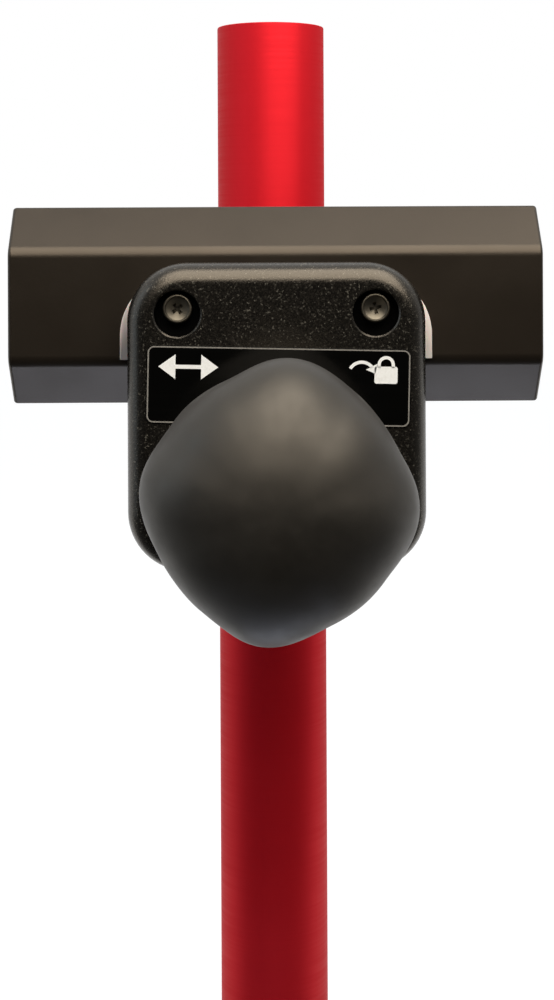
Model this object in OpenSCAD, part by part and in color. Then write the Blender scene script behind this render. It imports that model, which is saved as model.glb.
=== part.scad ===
// Clamp head of a work stand, on the upper section of the stand's post.
// Millimetres, +Z up. The origin is on the post's axis, at its lower end.
// +X is to the right, and the clamp's knob faces -Y.
// The head's collar slides on the post. Its arm carries a fixed rear jaw, and
// the front jaw rides on a tube that telescopes in the arm. A quarter turn of
// the knob draws a wedge nut, which lifts a brake shoe against the arm's bore.

/* [Post] */
// Outer diameter of the post tube
post_d = 35; // [30:0.5:38]
// Wall of the post tube
post_wall = 2; // [1.5:0.1:3]
// Length of this section of the post
post_len = 418; // [390:1:700]
// Length of the guide bush on the post's lower end
foot_bush_len = 60; // [40:5:90]
// Wall of the guide bush
foot_bush_wall = 1.5; // [1:0.1:3]
// How far the plug sits below the post's upper rim
plug_recess = 1.5; // [0.5:0.1:5]
// Length of the plug in the post's upper end
plug_len = 14; // [8:1:30]
// Wall of the cup-shaped plug
plug_wall = 2; // [1.2:0.1:4]

/* [Collar] */
// Height of the arm's axis above the post's lower end
head_z = 292; // [150:1:330]
// Height of the collar
collar_h = 60; // [48:1:80]
// Wall of the collar round its bush
collar_wall = 6.5; // [5:0.5:9]
// Wall of the nylon bush between collar and post
bush_wall = 1.9; // [1.4:0.1:3]
// Thickness of the bush's two lips
bush_lip = 1.5; // [1:0.1:3]
// How far the lips reach over the collar's ends
bush_lip_w = 3; // [1.5:0.5:5]
// Radial gap between the bush and the post
post_gap = 0.1; // [0.05:0.01:0.3]
// Width of the slit that lets the collar close
slit_w = 3; // [2:0.5:5]
// Thickness of each clamping ear, across the slit
ear_t = 11.5; // [9:0.5:16]
// How far the ears stand out behind the collar
ear_reach = 16; // [14:0.5:24]
// Height of the clamping ears
ear_h = 28; // [22:1:44]
// Radius of the boss that holds the arm
boss_r = 21; // [19:0.5:26]
// Distance from the post's axis to the front of the boss
boss_front = 48; // [44:1:54]

/* [Quick release] */
// Diameter of the clamping rod
rod_d = 6; // [5:0.5:8]
// Diameter of the lever's pivot pin
lever_pin_d = 8; // [7.5:0.5:9]
// Radius of the lever's cam cheeks
cam_r = 6.6; // [6:0.1:8]
// How far the cam cheeks are off the pivot's centre
cam_throw = 0.8; // [0.4:0.1:1.2]
// Height of the lever along its pivot pin
lever_h = 18; // [16:1:24]
// Width of the slot between the two cam cheeks
lever_slot = 7.4; // [6.6:0.2:9]
// Length of the lever from its pivot to its tip
lever_len = 60; // [45:1:80]
// Thickness of the lever's handle
lever_t = 6; // [4:0.5:9]
// Thickness of the cam washer
cam_washer_t = 2.8; // [2:0.2:5]
// Length of the adjusting nut on the rod
rod_nut_len = 9; // [6:0.5:14]
// Diameter of the adjusting nut
rod_nut_d = 16; // [12:0.5:20]

/* [Arm] */
// Outer diameter of the fixed arm tube
arm_d = 30; // [28:0.5:32]
// Wall of the fixed arm tube
arm_wall = 3; // [2.5:0.1:3.5]
// Distance from the post's axis to the arm's open front end
arm_front = 105; // [100:1:107]
// Distance from the post's axis to the arm's rear end
arm_back = 22; // [21:0.5:26]
// Thickness of the ring in front of the arm's mouth
mouth_ring_t = 3; // [2:0.5:3.5]
// Length of the ring's skirt over the arm
mouth_skirt = 8; // [5:0.5:9]
// Wall of the mouth ring
mouth_wall = 2.2; // [1.5:0.1:3]
// Diameter of the screws that hold the arm, the tube and the saddle
tube_screw_d = 5; // [4:0.5:6]

/* [Sliding tube] */
// Radial running gap between the sliding tube and the arm's bore
slide_gap = 0.08; // [0.04:0.01:0.15]
// Wall of the sliding tube
slide_wall = 2.4; // [2:0.1:3]
// Distance from the post's axis to the sliding tube's rear end
slide_back = 50; // [48:0.5:56]
// How far the front jaw closes from rest
close_travel = 25; // [10:1:25]
// How far the front jaw opens from rest
open_travel = 30; // [10:1:30]
// Diameter of the key that stops the sliding tube turning
key_d = 5; // [4:0.5:6]

/* [Jaws] */
// Length of both jaws
jaw_len = 130; // [110:1:160]
// Height of both jaws
jaw_h = 48.5; // [42:0.5:54]
// Height of the flat outer face, between its two chamfers
jaw_face_h = 27; // [20:0.5:30]
// How deep each chamfer reaches from the outer face
jaw_chamfer = 10.75; // [6:0.25:12]
// Thickness of each jaw from its outer face to its pad
jaw_t = 24; // [22:0.5:24]
// Wall of the hollow jaws
jaw_wall = 3.5; // [2.5:0.1:5]
// Height of the jaws' centre line above the arm's axis
jaw_rise = 40; // [39:0.5:44]
// Distance from the post's axis to the front jaw's outer face
jaw_front = 159; // [157:1:162]
// Distance from the post's axis to the rear jaw's outer face
rear_jaw_back = 64; // [56:1:66]
// Thickness of the rubber pads
pad_t = 8; // [6:0.5:8.5]
// Height of the rubber pads
pad_h = 36; // [30:1:37]
// How much shorter the pads are than the jaws, at each end
pad_inset = 3; // [1:0.5:8]
// Radius of the groove along each pad
groove_r = 24; // [18:1:40]
// Depth of the groove along each pad
groove_depth = 3; // [1:0.5:4]
// Thickness of the caps in the jaws' ends
jaw_cap_t = 3; // [2:0.5:6]
// Gap round each cap in its jaw
jaw_cap_gap = 0.1; // [0.05:0.05:0.3]
// Distance from the middle to each pad screw
pad_screw_x = 42; // [34:1:50]

/* [Carriage] */
// Width of the cover on the carriage's front
cover_w = 70.6; // [66:0.1:80]
// Height of the cover
cover_h = 72.8; // [71:0.1:84]
// How far the cover's lower edge is below the arm's axis
cover_drop = 22.2; // [21:0.1:28]
// Depth of the cover from its face to its open back
cover_depth = 13.5; // [12:0.5:18]
// Radius of the cover's corners
cover_corner = 14; // [9:0.5:17]
// Radius of the rounding round the cover's face
cover_fillet = 4.2; // [2:0.1:5]
// Wall of the cover
cover_wall = 3; // [2.5:0.1:4]
// Thickness of the pale liner between cover and jaw
liner_t = 1.5; // [1:0.1:2.5]
// How much wider the liner is than the cover, at each side
liner_lap = 2.4; // [0.6:0.1:3]
// Height of the liner
liner_h = 20.8; // [14:0.1:24]
// Radius of the liner's shoulders
liner_corner = 15; // [8:0.5:18]
// How far the liner stands above the knee of the jaw's lower chamfer
liner_lift = 0.7; // [0:0.1:2]
// Width of the carriage block behind the cover
block_w = 64; // [60:1:66]
// Radius of the block's lower corners
block_corner = 10; // [4:0.5:12]
// How far the block stops short of the cover's lower edge
block_inset = 2; // [1:0.5:4]
// Distance from the middle to each upper cover screw
cover_screw_x = 23.3; // [20:0.1:26]
// Height of the upper cover screws above the arm's axis
cover_screw_rise = 39.9; // [34:0.1:41]
// Diameter of the cover screws
cover_screw_d = 4; // [3:0.5:5]
// Diameter of the cover screws' heads
cover_head_d = 7; // [6:0.1:8]
// Diameter of the recess round each upper cover screw
cover_recess_d = 10.9; // [9:0.1:12]
// How far the recesses' middles are below their screws
cover_recess_drop = 1.1; // [0:0.1:1.6]
// Depth of the recess round each upper cover screw
cover_recess = 4.6; // [4:0.1:6]
// Distance from the middle to each lower cover screw
lower_screw_x = 25.5; // [25:0.5:26.5]
// How far the lower cover screws are below the arm's axis
lower_screw_drop = 12.2; // [9:0.1:14]
// Distance from the middle to each front jaw bolt
front_bolt_x = 17; // [16.5:0.5:18]
// Distance from the arm's side to the axis of each rear jaw bolt
rear_bolt_clear = 6; // [5:0.5:9]
// Diameter of the jaw bolts
jaw_bolt_d = 5; // [4:0.5:6]

/* [Label] */
// Width of the label
label_w = 62; // [50:0.5:63]
// Height of the label
label_h = 18.4; // [14:0.1:20]
// Height of the label's centre above the arm's axis
label_rise = 21.7; // [18:0.1:24]
// How far the label's centre is right of the middle
label_shift = 0.4; // [-1:0.1:1]
// Slope of the label, clockwise
label_tilt = 1.3; // [0:0.1:3]
// Thickness of the label
label_t = 0.3; // [0.2:0.05:0.8]
// Radius of the label's corners
label_corner = 1.8; // [1:0.1:4]

/* [Lock] */
// Diameter of the spindle
spindle_d = 10; // [9:0.5:10.5]
// Radial running gap round the spindle
spindle_gap = 0.1; // [0.05:0.01:0.2]
// Radius of the spindle's thrust flange
flange_r = 10; // [9:0.5:11]
// Half of the angle that the stop lug fills
lug_half = 8; // [5:1:10]
// Diameter of the two stop pins
stop_pin_d = 3; // [2.5:0.5:4]
// Distance from the sliding tube to the stop pins
stop_pin_clear = 1; // [0.6:0.1:2]
// How far the knob turns each way from its middle
knob_half_turn = 45; // [30:5:60]
// Thickness of the thrust washers
thrust_t = 1.5; // [1:0.1:2]
// Axial running gap at each thrust face
axial_gap = 0.2; // [0.1:0.05:0.3]
// Wall of the spindle's bush
spindle_bush_wall = 3; // [2:0.5:4]
// Thickness of the bush's lip on the cover's face
spindle_bush_lip = 1.5; // [1:0.1:2]
// Thickness of the spring washer under the knob
spring_washer_t = 0.8; // [0.5:0.1:1.2]
// Length of the wedge nut
wedge_len = 20; // [18:0.5:22]
// Distance from the post's axis to the wedge nut's rear end
wedge_back = 53; // [52.5:0.5:56]
// Slope of the wedge nut's ramp
wedge_angle = 8; // [5:0.5:9]
// Radial gap between the wedge nut and the sliding tube
wedge_gap = 0.12; // [0.08:0.01:0.2]
// Lead of the spindle's quick thread, per full turn
thread_lead = 12; // [6:1:16]
// Length of the brake shoe
shoe_len = 14; // [10:0.5:14]
// Width of the brake shoe
shoe_w = 8; // [6:0.5:9]
// Gap between the locked shoe and the arm's bore
shoe_bite = 0.1; // [0.05:0.01:0.2]
// Gap round the shoe in its window
shoe_gap = 0.25; // [0.1:0.05:0.4]

/* [Knob] */
// Length of the knob from its base to its crown
knob_len = 55; // [48:1:62]
// Radius of the knob over its four lobes
knob_lobe_r = 30.5; // [26:0.1:34]
// Radius of the knob between its lobes
knob_hollow_r = 28.2; // [24:0.1:32]
// Half of the angle that each lobe fills
lobe_half = 31; // [20:1:45]
// How much further the knob reaches over its two upright lobes
knob_oval = 0.35; // [0:0.05:1]
// Radius of the knob's base
knob_base_r = 19; // [15:0.5:22]
// Height of the knob's widest ring above its base
knob_belly = 34; // [28:1:38]
// Turn of the lobes, counter-clockwise from the front
knob_phase = -6; // [-20:1:20]
// Radius of the knob's hard core
core_r = 9; // [8:0.5:12]
// Length of the knob's hard core
core_len = 38; // [30:1:42]
// Thickness of the core's base disc
core_disc_t = 3; // [2:0.5:5]
// Diameter of the pin through knob and spindle
drive_pin_d = 3; // [2.5:0.5:4]
// Distance from the knob's base to the pin
drive_pin_rise = 28; // [20:1:30]

/* [Hidden] */
fine = 96;        // facets of a large round
small = 48;       // facets of a small round
over = 0.5;       // how far a cut runs past a face
screw_gap = 0.15; // radial gap round a screw in its hole
head_ratio = 0.75; // a cap head's height to its screw's diameter
head_width = 1.7;  // a cap head's diameter to its screw's
socket_r = 0.4;    // a cap head's socket radius to its screw's diameter
grub_r = 0.25;     // a grub screw's socket radius to its diameter
hex_share = 0.6;   // a socket's depth to its head's height
bolt_set = 1;      // how far the jaw bolts' heads are set into their block
grub_set = 1;      // how far the tube's grub screw is set into its block
grub_socket = 3;   // depth of that grub screw's socket
grub_tip_gap = 0.4; // gap between its tip and the tube's bore
bolt_clear = 0.5;  // gap between the saddle's screw and the bolt beside it
saddle_socket = 1.5; // depth of the socket in the saddle's screw
pad_screw_bite = 1; // how far a pad screw reaches past the jaw's wall
pad_socket = 1.4;  // radius and depth of a pad screw's socket
nut_cap = 2;       // thickness of the rod nut's closed end
nut_edge = 1;      // step round the rod nut's ends
boss_flat = 2;     // depth of the flat under the arm screws' heads
slot_room = 1;     // room round the rod's end in the lever's slot
lever_neck = 1;    // how much slimmer the lever's root is than its cam
key_set = 0.5;     // how far the key's lower end is set into the arm's wall
key_tip_gap = 0.3; // how far the key ends short of the tube's bore
liner_foot = 2;    // least height of the liner's straight sides
spring_lap = 1;    // how far the spring washer covers the bush's lip
skin_rim = 3;      // width of the soft skin round the core's disc
pin_end_gap = 0.5; // how far the drive pin ends inside the core's surface
tip_gap = 0.6;     // radial gap between a side screw's tip and the arm's bore
post_r = post_d / 2;
bush_r = post_r + post_gap + bush_wall;
collar_r = bush_r + collar_wall;
collar_z0 = head_z - collar_h / 2;
ear_x = slit_w / 2 + ear_t;
ear_y = collar_r + ear_reach;
rod_y = collar_r + ear_reach / 2;
cam_face_x = ear_x + cam_washer_t + axial_gap;
pivot_x = cam_face_x + cam_r + cam_throw;
rod_end_x = pivot_x + lever_pin_d / 2;
cam_washer_lap = 1.6;  // how far the cam washer shows round the cam
cam_washer_r = cam_r + cam_washer_lap;
handle_offset = 6;     // how far the handle stands out past the pivot
handle_clear = 2.5;    // gap between handle and collar
handle_x = max(pivot_x + handle_offset, collar_r + lever_t / 2 + handle_clear);
handle_mid_y = rod_y - lever_len / 2;
handle_tip_y = rod_y - lever_len;

arm_bore_r = arm_d / 2 - arm_wall;
slide_r = arm_bore_r - slide_gap;
slide_bore_r = slide_r - slide_wall;
mouth_y = -arm_front - mouth_ring_t;
key_y = -slide_back - key_d * 2;
key_slot_y0 = key_y - open_travel - key_d;
key_slot_y1 = key_y + close_travel + key_d;
boss_screw_y = [-(arm_back + (boss_front - arm_back) * 0.35),
                -(arm_back + (boss_front - arm_back) * 0.75)];
boss_screw_head = tube_screw_d * head_ratio;

jaw_z = head_z + jaw_rise;
jaw_under = jaw_z - jaw_h / 2;
jaw_back = jaw_front - jaw_t;
rear_jaw_front = rear_jaw_back + jaw_t;
chamfer_rise = (jaw_h - jaw_face_h) / 2;
chamfer_len = sqrt(jaw_chamfer ^ 2 + chamfer_rise ^ 2);
pad_head_d = 8;
pad_head_t = 2.4;
pad_screw_d = 4;

seat_y = -jaw_front - liner_t;      // back of the cover, front of the block
face_y = seat_y - cover_depth;      // front of the cover
inner_y = face_y + cover_wall;      // inside of the cover's front wall
cover_z0 = head_z - cover_drop;
cover_z = cover_z0 + cover_h / 2;
block_z0 = cover_z0 + block_inset;
block_h = jaw_under - block_z0;
block_back_y = -jaw_back;
socket_floor = 3.5;                 // wall between the tube's socket and the cover
socket_end_y = seat_y + socket_floor;
liner_z0 = jaw_z - jaw_face_h / 2 + liner_lift;
cover_screw_len = 16;
dish_rim = 0.7;                     // rim round the dish in a cover screw's head
dish_depth = 0.5;
cross_len = cover_head_d * 0.45;    // the cross in the dish
cross_w = cover_head_d * 0.13;
cross_depth = 1.1;
boss_wall = 2;                      // wall of the cover's upper screw bosses
lower_boss_wall = 3;                // wall of its lower screw bosses
lower_screw_bite = 7;               // how far the lower screws reach into the cover
lower_screw_tip_y = seat_y - lower_screw_bite;
jaw_bolt_y = (jaw_chamfer - jaw_front - jaw_back) / 2;
rear_bolt_x = arm_d / 2 + rear_bolt_clear;
rear_bolt_y = -(rear_jaw_back + jaw_chamfer + rear_jaw_front) / 2;
jaw_bolt_tip = 3;                   // how far the bolts stand up inside the jaw
jaw_bolt_top = jaw_under + jaw_wall + jaw_bolt_tip;
jaw_bolt_head_d = jaw_bolt_d * head_width;
jaw_bolt_sink = jaw_bolt_d * head_ratio + bolt_set;
saddle_side = 6;                    // from a bolt's axis to the saddle's side
saddle_floor = 4;                   // thickness of the saddle below the arm
saddle_w = 2 * (rear_bolt_x + saddle_side);
saddle_z0 = head_z - arm_d / 2 - saddle_floor;

spindle_r = spindle_d / 2;
spindle_bore_r = spindle_r + spindle_gap;
spindle_bush_r = spindle_bore_r + spindle_bush_wall;
spindle_bush_lap = 2;               // how far the bush's lip covers the cover's face
flange_t = cover_depth - cover_wall - 2 * thrust_t - 3 * axial_gap;
flange_y = inner_y + thrust_t + 2 * axial_gap;
rear_thrust_y = seat_y - thrust_t;
stop_pin_r = slide_r + stop_pin_clear + stop_pin_d / 2;
lug_r = stop_pin_r + stop_pin_d / 2;
stop_pin_half = asin((stop_pin_d / 2) / stop_pin_r);
stop_slack = 1;                     // degrees of turn left between lug and pin
stop_angle = knob_half_turn + lug_half + stop_pin_half + stop_slack;
stop_pin_sink = 7;
spring_y = face_y - spindle_bush_lip - spring_washer_t - axial_gap;
knob_y = spring_y - axial_gap;      // base of the knob
drive_pin_y = knob_y - drive_pin_rise;
core_disc_r = knob_base_r - skin_rim;
core_end = 4;                       // thickness of the core in front of the spindle
spindle_tail = 1;                   // how far the spindle ends behind the wedge nut
spindle_front_y = knob_y - core_len + core_end;
spindle_back_y = -wedge_back - spindle_tail;

wedge_r = slide_bore_r - wedge_gap;
wedge_front_y = -wedge_back - wedge_len;
ramp_slope = tan(wedge_angle);
half_wedge_travel = thread_lead * knob_half_turn / 360;
half_shoe_travel = half_wedge_travel * ramp_slope;
shoe_top_r = arm_bore_r - shoe_bite - half_shoe_travel;
shoe_y = -wedge_back - wedge_len / 2;
ramp_edge = 0.05;                   // how far the ramp starts below the nut's round
ramp_high = wedge_r - ramp_edge;    // height of the ramp at its rear end
ramp_rest = 0.05;                   // gap between ramp and shoe

// ---- Shared shapes ----

// A rod along Y from y0 to y1, on the arm's axis.
module y_rod(y0, y1, r, facets = fine)
    translate([0, y1, head_z]) rotate([90, 0, 0]) cylinder(r = r, h = y1 - y0, $fn = facets);

// A rod along X from x0 to x1.
module x_rod(x0, x1, r, facets = small)
    translate([x0, 0, 0]) rotate([0, 90, 0]) cylinder(r = r, h = x1 - x0, $fn = facets);

// A rod along Z from z0 to z1.
module z_rod(z0, z1, r, facets = small)
    translate([0, 0, z0]) cylinder(r = r, h = z1 - z0, $fn = facets);

// Children are an outline in Y and Z, drawn out along X about the middle.
module along_x(len)
    translate([-len / 2, 0, 0]) rotate([90, 0, 90]) linear_extrude(len) children();

// Children are an outline in X and Z, drawn out along Y from y0 to y1.
module along_y(y0, y1)
    translate([0, y1, 0]) rotate([90, 0, 0]) linear_extrude(y1 - y0) children();

// A rectangle with round corners, about its middle.
module round_rect(w, h, r) {
    square([w, h - 2 * r], center = true);
    square([w - 2 * r, h], center = true);
    for (sx = [-1, 1], sy = [-1, 1])
        translate([sx * (w / 2 - r), sy * (h / 2 - r)]) circle(r = r, $fn = small);
}

// A round-cornered plate with a rounded front rim. Its back is at depth t and
// its front at 0, both along the plate's own -Z.
module pillow_plate(w, h, t, corner, fillet) {
    flat_w = w / 2 - corner;
    flat_h = h / 2 - corner;
    translate([0, 0, -t]) linear_extrude(t - fillet) round_rect(w, h, corner);
    translate([0, 0, -fillet]) linear_extrude(fillet)
        round_rect(w - 2 * fillet, h - 2 * fillet, corner - fillet);
    for (sx = [-1, 1])
        translate([sx * (w / 2 - fillet), flat_h, -fillet]) rotate([90, 0, 0])
            cylinder(r = fillet, h = 2 * flat_h, $fn = small);
    for (sy = [-1, 1])
        translate([-flat_w, sy * (h / 2 - fillet), -fillet]) rotate([0, 90, 0])
            cylinder(r = fillet, h = 2 * flat_w, $fn = small);
    for (sx = [-1, 1], sy = [-1, 1])
        translate([sx * flat_w, sy * flat_h, -fillet]) rotate_extrude($fn = small)
            union() {
                translate([corner - fillet, 0]) intersection() {
                    circle(r = fillet, $fn = small);
                    translate([0, -fillet]) square([fillet, 2 * fillet]);
                }
                translate([0, -fillet]) square([corner - fillet, 2 * fillet]);
            }
}

// A jaw's outline, shrunk by w all round. X runs back from the outer face.
function jaw_outline(w) =
    let(face = jaw_face_h / 2 - w * (chamfer_len - chamfer_rise) / jaw_chamfer,
        knee = jaw_chamfer + w * (chamfer_len - jaw_chamfer) / chamfer_rise,
        top = jaw_h / 2 - w)
    [[w, -face], [w, face], [knee, top], [jaw_t - w, top], [jaw_t - w, -top], [knee, -top]];

// A jaw bar of the given shrink, with its outer face at y = 0.
module jaw_bar(shrink, len) along_x(len) polygon(jaw_outline(shrink));

// Puts children, drawn with their outer face at y = 0, at the front jaw.
module at_front_jaw() translate([0, -jaw_front, jaw_z]) children();

// The same at the rear jaw, which faces the other way.
module at_rear_jaw() translate([0, -rear_jaw_back, jaw_z]) mirror([0, 1, 0]) children();

// A hollow jaw bar, with the holes for its pad screws and its two bolts.
module hollow_jaw(bolt_x) {
    difference() {
        jaw_bar(0, jaw_len);
        jaw_bar(jaw_wall, jaw_len + 2 * over);
        for (sx = [-1, 1]) translate([sx * pad_screw_x, 0, 0])
            pad_screw_hole(jaw_t - jaw_wall - over, jaw_t + over);
        jaw_bolt_holes(bolt_x);
    }
}

module pad_screw_hole(y0, y1)
    translate([0, y1, 0]) rotate([90, 0, 0])
        cylinder(r = pad_screw_d / 2 + screw_gap, h = y1 - y0, $fn = small);

// The holes in a jaw's underside for its two bolts.
module jaw_bolt_holes(bolt_x)
    for (sx = [-1, 1])
        translate([sx * bolt_x, (jaw_chamfer + jaw_t) / 2, -jaw_h / 2 - over])
            cylinder(r = jaw_bolt_d / 2 + screw_gap, h = jaw_wall + 2 * over, $fn = small);

module jaw_caps()
    for (sx = [-1, 1]) translate([sx * (jaw_len - jaw_cap_t) / 2, 0, 0])
        jaw_bar(jaw_wall + jaw_cap_gap, jaw_cap_t);

// A pad with a groove along it, seated on a jaw's inner face.
module jaw_pad()
    difference() {
        translate([-jaw_len / 2 + pad_inset, jaw_t, -pad_h / 2])
            cube([jaw_len - 2 * pad_inset, pad_t, pad_h]);
        translate([0, jaw_t + pad_t - groove_depth + groove_r, 0])
            x_rod(-jaw_len / 2, jaw_len / 2, groove_r, fine);
        for (sx = [-1, 1]) translate([sx * pad_screw_x, 0, 0]) {
            pad_screw_hole(jaw_t - over, jaw_t + pad_t);
            translate([0, jaw_t + pad_t, 0]) rotate([90, 0, 0])
                cylinder(r = pad_head_d / 2 + screw_gap,
                         h = groove_depth + pad_head_t, $fn = small);
        }
    }

// Two pad screws, with their heads sunk in the groove.
module jaw_pad_screws() {
    seat = jaw_t + pad_t - groove_depth - pad_head_t;
    for (sx = [-1, 1]) translate([sx * pad_screw_x, 0, 0]) rotate([-90, 0, 0]) {
        translate([0, 0, jaw_t - jaw_wall - pad_screw_bite])
            cylinder(r = pad_screw_d / 2, h = seat - jaw_t + jaw_wall + pad_screw_bite,
                     $fn = small);
        difference() {
            translate([0, 0, seat]) cylinder(r = pad_head_d / 2, h = pad_head_t, $fn = small);
            translate([0, 0, seat + pad_head_t - pad_socket])
                cylinder(r = pad_socket, h = pad_socket + over, $fn = 6);
        }
    }
}

// A cap screw up along Z, with its head at the lower end.
module cap_screw_up(z_head, z_tip, d, head_d) {
    head_t = d * head_ratio;
    difference() {
        z_rod(z_head, z_head + head_t, head_d / 2);
        translate([0, 0, z_head - over])
            cylinder(r = d * socket_r, h = head_t * hex_share + over, $fn = 6);
    }
    z_rod(z_head + head_t, z_tip, d / 2);
}

// Two jaw bolts at the given x and y, out of a block whose underside is at z0.
module jaw_bolts(x, y, z0)
    for (sx = [-1, 1]) translate([sx * x, y, 0])
        cap_screw_up(z0 + bolt_set, jaw_bolt_top, jaw_bolt_d, jaw_bolt_head_d);

// Holes for those bolts in the block below the jaw.
module jaw_bolt_bores(x, y, z0)
    for (sx = [-1, 1]) translate([sx * x, y, 0]) {
        z_rod(z0 - over, jaw_under + over, jaw_bolt_d / 2 + screw_gap);
        z_rod(z0 - over, z0 + jaw_bolt_sink, jaw_bolt_head_d / 2 + screw_gap);
    }

// A washer or ring along Y, on the arm's axis.
module y_ring(y0, y1, r_out, r_in)
    difference() {
        y_rod(y0, y1, r_out);
        y_rod(y0 - over, y1 + over, r_in);
    }

// ---- Post ----

module post_tube()
    color("crimson") difference() {
        z_rod(0, post_len, post_r, fine);
        z_rod(-over, post_len + over, post_r - post_wall, fine);
    }

module post_plug()
    color("dimgray") difference() {
        z_rod(post_len - plug_recess - plug_len, post_len - plug_recess,
              post_r - post_wall, fine);
        z_rod(post_len - plug_recess - plug_len - over, post_len - plug_recess - plug_wall,
              post_r - post_wall - plug_wall, fine);
    }

module post_foot_bush()
    color("whitesmoke") difference() {
        z_rod(0, foot_bush_len, post_r + foot_bush_wall, fine);
        z_rod(-over, foot_bush_len + over, post_r, fine);
    }

// ---- Collar ----

module collar_slit(wide)
    translate([-wide / 2, 0, collar_z0 - bush_lip - over])
        cube([wide, ear_y + over, collar_h + 2 * bush_lip + 2 * over]);

module collar_body()
    color([0.12, 0.12, 0.13]) difference() {
        union() {
            z_rod(collar_z0, collar_z0 + collar_h, collar_r, fine);
            y_rod(-boss_front, 0, boss_r);
            translate([-ear_x, 0, head_z - ear_h / 2]) cube([2 * ear_x, ear_y, ear_h]);
        }
        z_rod(collar_z0 - over, collar_z0 + collar_h + over, bush_r, fine);
        y_rod(-boss_front - over, -arm_back, arm_d / 2);
        collar_slit(slit_w);
        translate([0, rod_y, head_z])
            x_rod(-ear_x - over, ear_x + over, rod_d / 2 + screw_gap);
        for (y = boss_screw_y) translate([0, y, head_z])
            x_rod(0, boss_r + over, tube_screw_d / 2 + screw_gap);
        translate([boss_r - boss_flat, -boss_front - over, head_z - tube_screw_d])
            cube([boss_r, boss_front - arm_back + boss_flat, 2 * tube_screw_d]);
    }

module collar_bush()
    color("whitesmoke") difference() {
        union() {
            z_rod(collar_z0, collar_z0 + collar_h, bush_r, fine);
            for (z = [collar_z0 - bush_lip, collar_z0 + collar_h])
                z_rod(z, z + bush_lip, bush_r + bush_lip_w, fine);
        }
        z_rod(collar_z0 - 2 * bush_lip, collar_z0 + collar_h + 2 * bush_lip,
              post_r + post_gap, fine);
        collar_slit(slit_w);
    }

// ---- Quick release ----

module clamp_rod()
    color("silver") translate([0, rod_y, head_z])
        x_rod(-ear_x - rod_nut_len + nut_cap, rod_end_x, rod_d / 2);

module rod_nut()
    color("dimgray") translate([0, rod_y, head_z]) difference() {
        union() {
            x_rod(-ear_x - rod_nut_len, -ear_x, rod_nut_d / 2 - nut_edge);
            x_rod(-ear_x - rod_nut_len + nut_edge, -ear_x - nut_edge, rod_nut_d / 2);
        }
        x_rod(-ear_x - rod_nut_len + nut_cap, -ear_x + over, rod_d / 2);
    }

module cam_washer()
    color("darkgoldenrod") translate([0, rod_y, head_z]) difference() {
        x_rod(ear_x, ear_x + cam_washer_t, cam_washer_r);
        x_rod(ear_x - over, ear_x + cam_washer_t + over, rod_d / 2 + screw_gap);
    }

module lever_pin()
    color("silver") difference() {
        translate([pivot_x, rod_y, 0])
            z_rod(head_z - lever_h / 2, head_z + lever_h / 2, lever_pin_d / 2);
        translate([0, rod_y, head_z]) x_rod(0, rod_end_x + over, rod_d / 2);
    }

// One stretch of the lever's handle between two upright rounds.
module handle_stretch(from, to, r_from, r_to)
    hull() {
        translate(from) cylinder(r = r_from, h = lever_h, $fn = 32);
        translate(to) cylinder(r = r_to, h = lever_h, $fn = 32);
    }

module cam_lever() {
    z0 = head_z - lever_h / 2;
    slot_r = lever_pin_d / 2 + rod_d + slot_room;
    color([0.1, 0.1, 0.11]) difference() {
        union() {
            translate([pivot_x - cam_throw, rod_y, z0])
                cylinder(r = cam_r, h = lever_h, $fn = small);
            handle_stretch([pivot_x, rod_y, z0], [handle_x, handle_mid_y, z0],
                           cam_r - lever_neck, lever_t / 2);
            handle_stretch([handle_x, handle_mid_y, z0], [handle_x, handle_tip_y, z0],
                           lever_t / 2, lever_t / 2);
        }
        translate([pivot_x, rod_y, z0 - over])
            cylinder(r = lever_pin_d / 2 + spindle_gap, h = lever_h + 2 * over, $fn = small);
        translate([pivot_x, rod_y, head_z - lever_slot / 2])
            cylinder(r = slot_r, h = lever_slot, $fn = small);
    }
}

// ---- Arm ----

module arm_tube()
    color("silver") difference() {
        y_rod(-arm_front, -arm_back, arm_d / 2);
        y_rod(-arm_front - over, -arm_back + over, arm_bore_r);
        translate([-key_d / 2 - screw_gap, key_slot_y0, head_z - arm_d / 2 - over])
            cube([key_d + 2 * screw_gap, key_slot_y1 - key_slot_y0, arm_d / 2]);
        for (y = boss_screw_y) translate([0, y, head_z])
            x_rod(0, arm_d / 2 + over, tube_screw_d / 2);
        translate([0, rear_bolt_y, head_z]) x_rod(0, arm_d / 2 + over, tube_screw_d / 2);
    }

// A screw from the right into the arm, with its tip short of the arm's bore.
module side_screw(y, x_head) {
    difference() {
        translate([0, y, head_z]) x_rod(x_head, x_head + boss_screw_head, tube_screw_d * head_width / 2);
        translate([x_head + boss_screw_head * (1 - hex_share), y, head_z]) rotate([0, 90, 0])
            cylinder(r = tube_screw_d * socket_r, h = boss_screw_head, $fn = 6);
    }
    translate([0, y, head_z]) x_rod(arm_bore_r + tip_gap, x_head, tube_screw_d / 2);
}

module arm_screws()
    color("dimgray") for (y = boss_screw_y) side_screw(y, boss_r - boss_flat);

module arm_mouth_ring()
    color("whitesmoke") difference() {
        y_rod(mouth_y, -arm_front + mouth_skirt, arm_d / 2 + mouth_wall);
        y_rod(-arm_front, -arm_front + mouth_skirt + over, arm_d / 2);
        y_rod(mouth_y - over, -arm_front + over, arm_bore_r);
    }

// ---- Rear jaw ----

module rear_saddle()
    color([0.12, 0.12, 0.13]) difference() {
        translate([-saddle_w / 2, -rear_jaw_front, saddle_z0])
            cube([saddle_w, jaw_t, jaw_under - saddle_z0]);
        y_rod(-rear_jaw_front - over, -rear_jaw_back + over, arm_d / 2);
        jaw_bolt_bores(rear_bolt_x, rear_bolt_y, saddle_z0);
        translate([0, rear_bolt_y, head_z])
            x_rod(0, saddle_w / 2 + over, tube_screw_d / 2 + screw_gap);
    }

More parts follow.
